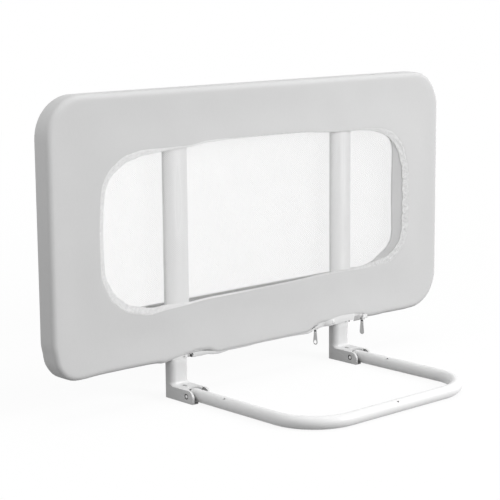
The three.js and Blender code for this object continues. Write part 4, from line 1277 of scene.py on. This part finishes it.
def make_floor(grey):
    """A floor that is white to look at, faintly shaded near the part, and grey to the light."""
    ground = Finish("pale_floor")
    white = ground.add("ShaderNodeEmission", inputs={"Color": WHITE, "Strength": 1.0})
    grain = ground.noise(ground.place(), scale=3)
    seen = seen_directly(ground)
    colour = ground.mix(seen, ground.shades(grain, linear(grey), 0.01), WHITE)
    matt = ground.add("ShaderNodeBsdfDiffuse", inputs={"Color": colour})
    away = ground.add("ShaderNodeVectorMath", {"operation": "LENGTH"}, {0: ground.place()}, output=1)
    near = (away * away * SHADE_FALL).operate("EXPONENT")
    inputs = {0: seen * (1.0 - near * SHADE_DEPTH), 1: matt, 2: white}
    shader = ground.add("ShaderNodeMixShader", inputs=inputs)
    ground.add("ShaderNodeOutputMaterial", inputs={"Surface": shader})
    half = FLOOR_SIZE / 2
    corners = [(-half, -half, 0), (half, -half, 0), (half, half, 0), (-half, half, 0)]
    mesh = new_mesh("floor", corners, [(0, 1, 2, 3)])
    mesh.materials.append(ground.material)
    link("floor", mesh)


def make_sky(fill):
    """A sky that is white to look at and lights the part weakly from all round."""
    world = bpy.data.worlds.new("studio")
    world.use_nodes = True
    bpy.context.scene.world = world
    sky = Tree(world.node_tree)
    sky.nodes.clear()
    faint = sky.add("ShaderNodeBackground", inputs={"Color": WHITE, "Strength": fill})
    white = sky.add("ShaderNodeBackground", inputs={"Color": WHITE, "Strength": 1.0})
    shader = sky.add("ShaderNodeMixShader", inputs={0: seen_directly(sky), 1: faint, 2: white})
    sky.add("ShaderNodeOutputWorld", inputs={"Surface": shader})


def make_camera():
    """The camera as it was found from the photo's edges."""
    lens = bpy.data.cameras.new("camera")
    lens.sensor_width = 36
    lens.lens = CAMERA_LENS
    camera = link("camera", lens)
    forward = (CAMERA_TARGET - CAMERA_PLACE).normalized()
    right = forward.cross(UP).normalized()
    up = right.cross(forward)
    sine, cosine = math.sin(CAMERA_ROLL), math.cos(CAMERA_ROLL)
    turn = Matrix((right * cosine + up * sine, up * cosine - right * sine, -forward)).transposed()
    camera.matrix_world = Matrix.Translation(CAMERA_PLACE) @ turn.to_4x4()
    bpy.context.scene.camera = camera


# Properties


def colour_property(name, description, grey):
    colour = {"subtype": "COLOR", "size": 3, "min": 0, "max": 1, "default": linear(grey)}
    return FloatVectorProperty(name=name, description=description, **colour)


def number_property(name, description, default, low=0, **more):
    return FloatProperty(name=name, description=description, default=default, min=low, **more)


length_property = partial(number_property, unit="LENGTH")
power_property = partial(number_property, unit="POWER")


class BedGuardCover(bpy.types.PropertyGroup):
    """Cloth, net and zip of the cover."""

    cloth_colour: colour_property("Cloth", "Colour of the cover's cloth", 213)
    lining_colour: colour_property("Lining", "Colour of the cloth's inside", 205)
    net_colour: colour_property("Net", "Colour of the window net", 245)
    edging_colour: colour_property("Edging", "Colour of the gathered edging", 224)
    tape_colour: colour_property("Zip tape", "Colour of the zip's tape", 226)
    weave_pitch: length_property("Weave pitch", "Distance from thread to thread", 0.0008, 0.0002)
    net_pitch: length_property("Net pitch", "Width of one hole of the net", 0.0048, 0.0005)
    net_strand: number_property(
        "Net strand share", "How much of the net is thread", 0.27, 0.05, max=0.9, subtype="FACTOR"
    )


class BedGuardFrame(bpy.types.PropertyGroup):
    """Painted frame and hinges."""

    paint_colour: colour_property("Paint", "Colour of the posts' powder coat", 230)
    casting_colour: colour_property("Castings", "Colour of the cast brackets' powder coat", 221)
    tube_colour: colour_property("Base bar", "Colour of the base bar's coat", 239)
    edge_radius: length_property("Edge radius", "Rounding of the cast bracket's edges", 0.0007, 0.0001)


class BedGuardStage(bpy.types.PropertyGroup):
    """Floor, lamps and camera."""

    key_power: power_property("Key lamp", "Power of the large lamp", 206)
    top_power: power_property("Top lamp", "Power of the lamp overhead", 134)
    side_power: power_property("Side lamp", "Power of the small lamp at the left", 2)
    right_power: power_property("Right lamp", "Power of the lamp at the right", 12)
    fill: number_property("Fill", "Strength of the light from all round", 0.5)
    floor_grey: number_property("Floor grey", "The floor's grey as light falls back from it", 150, max=255)


# Operators


class BEDGUARD_OT_cover(bpy.types.Operator):
    """Make the cloth cover's front, rim and back"""

    bl_idname = "bedguard.cover"
    bl_label = "Cloth Cover"

    def execute(self, context):
        front_cover()
        back_cover()
        return {"FINISHED"}


class BEDGUARD_OT_windows(bpy.types.Operator):
    """Make the net windows and their gathered edging"""

    bl_idname = "bedguard.windows"
    bl_label = "Net Windows"

    def execute(self, context):
        for word, front, area in (("front", True, 0.0175), ("back", False, 0.01)):
            net = carry(window_net(f"net_{word}", front), "panel", "net", f"window_net_{word}")
            edging = edging_strip(f"edging_{word}", front)
            carry(edging, "panel", "binding", f"window_binding_{word}")
        return {"FINISHED"}


class BEDGUARD_OT_zips(bpy.types.Operator):
    """Make the zips' tapes, teeth, sliders and pulls"""

    bl_idname = "bedguard.zips"
    bl_label = "Zips"

    def execute(self, context):
        group = tooth_row_tree()
        for word, width in (("middle", 0.018), ("right", 0.012)):
            low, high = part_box(f"zip_tape_{word}")
            start, end = low[0] / MM, high[0] / MM
            tape = zip_strip(f"zip_tape_{word}_cloth", start, end)
            carry(tape, "panel", "zip_tape", f"zip_tape_{word}")
            teeth = zip_teeth(f"zip_teeth_{word}", group, np.arange(start, end, 1.0), CLOSED_TEETH)
        tape = carry(zip_strip("zip_tape_open", *OPEN_ZIP, closed=False), "panel", "zip_tape")
        x = np.arange(*OPEN_TEETH_SPAN, 1.0)
        teeth = zip_teeth("zip_teeth_open", group, x, OPEN_TEETH, back=-0.2, rise=3.6)
        slider = middle_of("zip_slider_right", 0) / MM
        # Each tab's middle and half sizes, along and up, and how far in front it lies
        tabs = [
            folded_tab("zip_end_tab", "enamel", (slider, 6.4), (6.6, 6.2), -21.2),
            folded_tab("zip_stop_tab", "enamel", (185, 8.6), (2.8, 3.4), -23.4),
            # The pocket's tab is darker cloth: painted shade in the pocket by the zip's end.
            folded_tab("zip_pocket_fold", "fold", (254, 5), (9, 5.4), -23.2),
        ]
        node = "zip_slider_middle_left"
        carry(refined(node, SLIDER_EDGE, "dark_metal", segments=2), node, "zip_metal", node)
        for node in ("zip_slider_middle_right", "zip_slider_right"):
            carry(painted_slider(node), node, "zip_metal", node)
        for node in ("zip_pull_middle", "zip_pull_right"):
            carry(refined(node, 0.3 * MM, "zinc", segments=2), node, "zip_metal", node)
        return {"FINISHED"}


class BEDGUARD_OT_frame(bpy.types.Operator):
    """Make the painted posts and finish the hidden tubes, plugs and rivets"""

    bl_idname = "bedguard.frame"
    bl_label = "Frame"

    def execute(self, context):
        repaint("paint", "rail_top", "rail_bottom")
        for side in SIDES:
            post_tube(side)
            repaint("nylon", f"rail_joiner_{side}", f"post_plug_{side}", f"post_bush_{side}")
            rivets = [f"rail_rivet_{side}_{level}" for level in ("lower", "upper")]
            repaint("steel", f"post_screw_{side}", *rivets)
        return {"FINISHED"}


class BEDGUARD_OT_hinges(bpy.types.Operator):
    """Make the cast brackets, pins, spacers and lock buttons"""

    bl_idname = "bedguard.hinges"
    bl_label = "Hinges"

    def execute(self, context):
        radius = context.scene.bed_guard_frame.edge_radius
        for side in SIDES:
            casting = refined(f"bracket_{side}", radius, "casting")
            paint_pocket_shade(casting, *box(f"bracket_{side}"))
            carry(casting, "panel", "bracket", f"bracket_{side}")
            neck = new_object(f"bracket_{side}_neck", neck_skin(side), "casting")
            smooth_faces(neck.data, 42)
            carry(neck, "panel", "bracket")
            for part, width, finish, body, slot in (
                ("tube_end", 0, "tube", "base", "bracket"),
                ("lock_button", 0.4 * MM, "nylon", f"lock_button_{side}", "bracket"),
                ("pivot_pin", 0.3 * MM, "zinc", "panel", "steel"),
            ):
                node = f"{part}_{side}"
                carry(refined(node, width, finish), body, slot, node)
            pin_fittings(side)
            repaint("liner", f"spacer_{side}_outer", f"spacer_{side}_inner")
            repaint("steel", f"lock_spring_{side}")
        return {"FINISHED"}


class BEDGUARD_OT_base(bpy.types.Operator):
    """Make the bent base bar"""

    bl_idname = "bedguard.base"
    bl_label = "Base Bar"

    def execute(self, context):
        base_bar()
        return {"FINISHED"}


class BEDGUARD_OT_stage(bpy.types.Operator):
    """Make the floor, the lamps, the sky and the camera"""

    bl_idname = "bedguard.stage"
    bl_label = "Stage"

    def execute(self, context):
        stage = context.scene.bed_guard_stage
        make_floor(stage.floor_grey)
        make_sky(stage.fill)
        for name, (place, size) in LAMPS.items():
            area_lamp(f"{name}_lamp", place, size, getattr(stage, f"{name}_power"))
        make_camera()
        context.scene.view_settings.view_transform = "Standard"
        return {"FINISHED"}


OPERATORS = (
    BEDGUARD_OT_stage,
    BEDGUARD_OT_cover,
    BEDGUARD_OT_windows,
    BEDGUARD_OT_zips,
    BEDGUARD_OT_frame,
    BEDGUARD_OT_hinges,
    BEDGUARD_OT_base,
)
GROUPS = {
    "bed_guard_cover": BedGuardCover,
    "bed_guard_frame": BedGuardFrame,
    "bed_guard_stage": BedGuardStage,
}


class BEDGUARD_PT_panel(bpy.types.Panel):
    """Sizes, colours and pieces of the bed guard"""

    bl_idname = "BEDGUARD_PT_panel"
    bl_label = "Bed Guard"
    bl_space_type = "VIEW_3D"
    bl_region_type = "UI"
    bl_category = "Bed Guard"

    def draw(self, context):
        for name, group in GROUPS.items():
            rows = self.layout.box()
            rows.label(text=group.__doc__)
            for prop in group.__annotations__:
                rows.prop(getattr(context.scene, name), prop)
        for operator in OPERATORS:
            self.layout.operator(operator.bl_idname)


def register():
    for group in (*GROUPS.values(), *OPERATORS, BEDGUARD_PT_panel):
        bpy.utils.register_class(group)
    for name, group in GROUPS.items():
        setattr(bpy.types.Scene, name, PointerProperty(type=group))


def unregister():
    for name in GROUPS:
        delattr(bpy.types.Scene, name)
    for group in reversed((*GROUPS.values(), *OPERATORS, BEDGUARD_PT_panel)):
        bpy.utils.unregister_class(group)


def main():
    register()
    for operator in OPERATORS:
        family, name = operator.bl_idname.split(".")
        getattr(getattr(bpy.ops, family), name)()


if __name__ == "__main__":
    main()
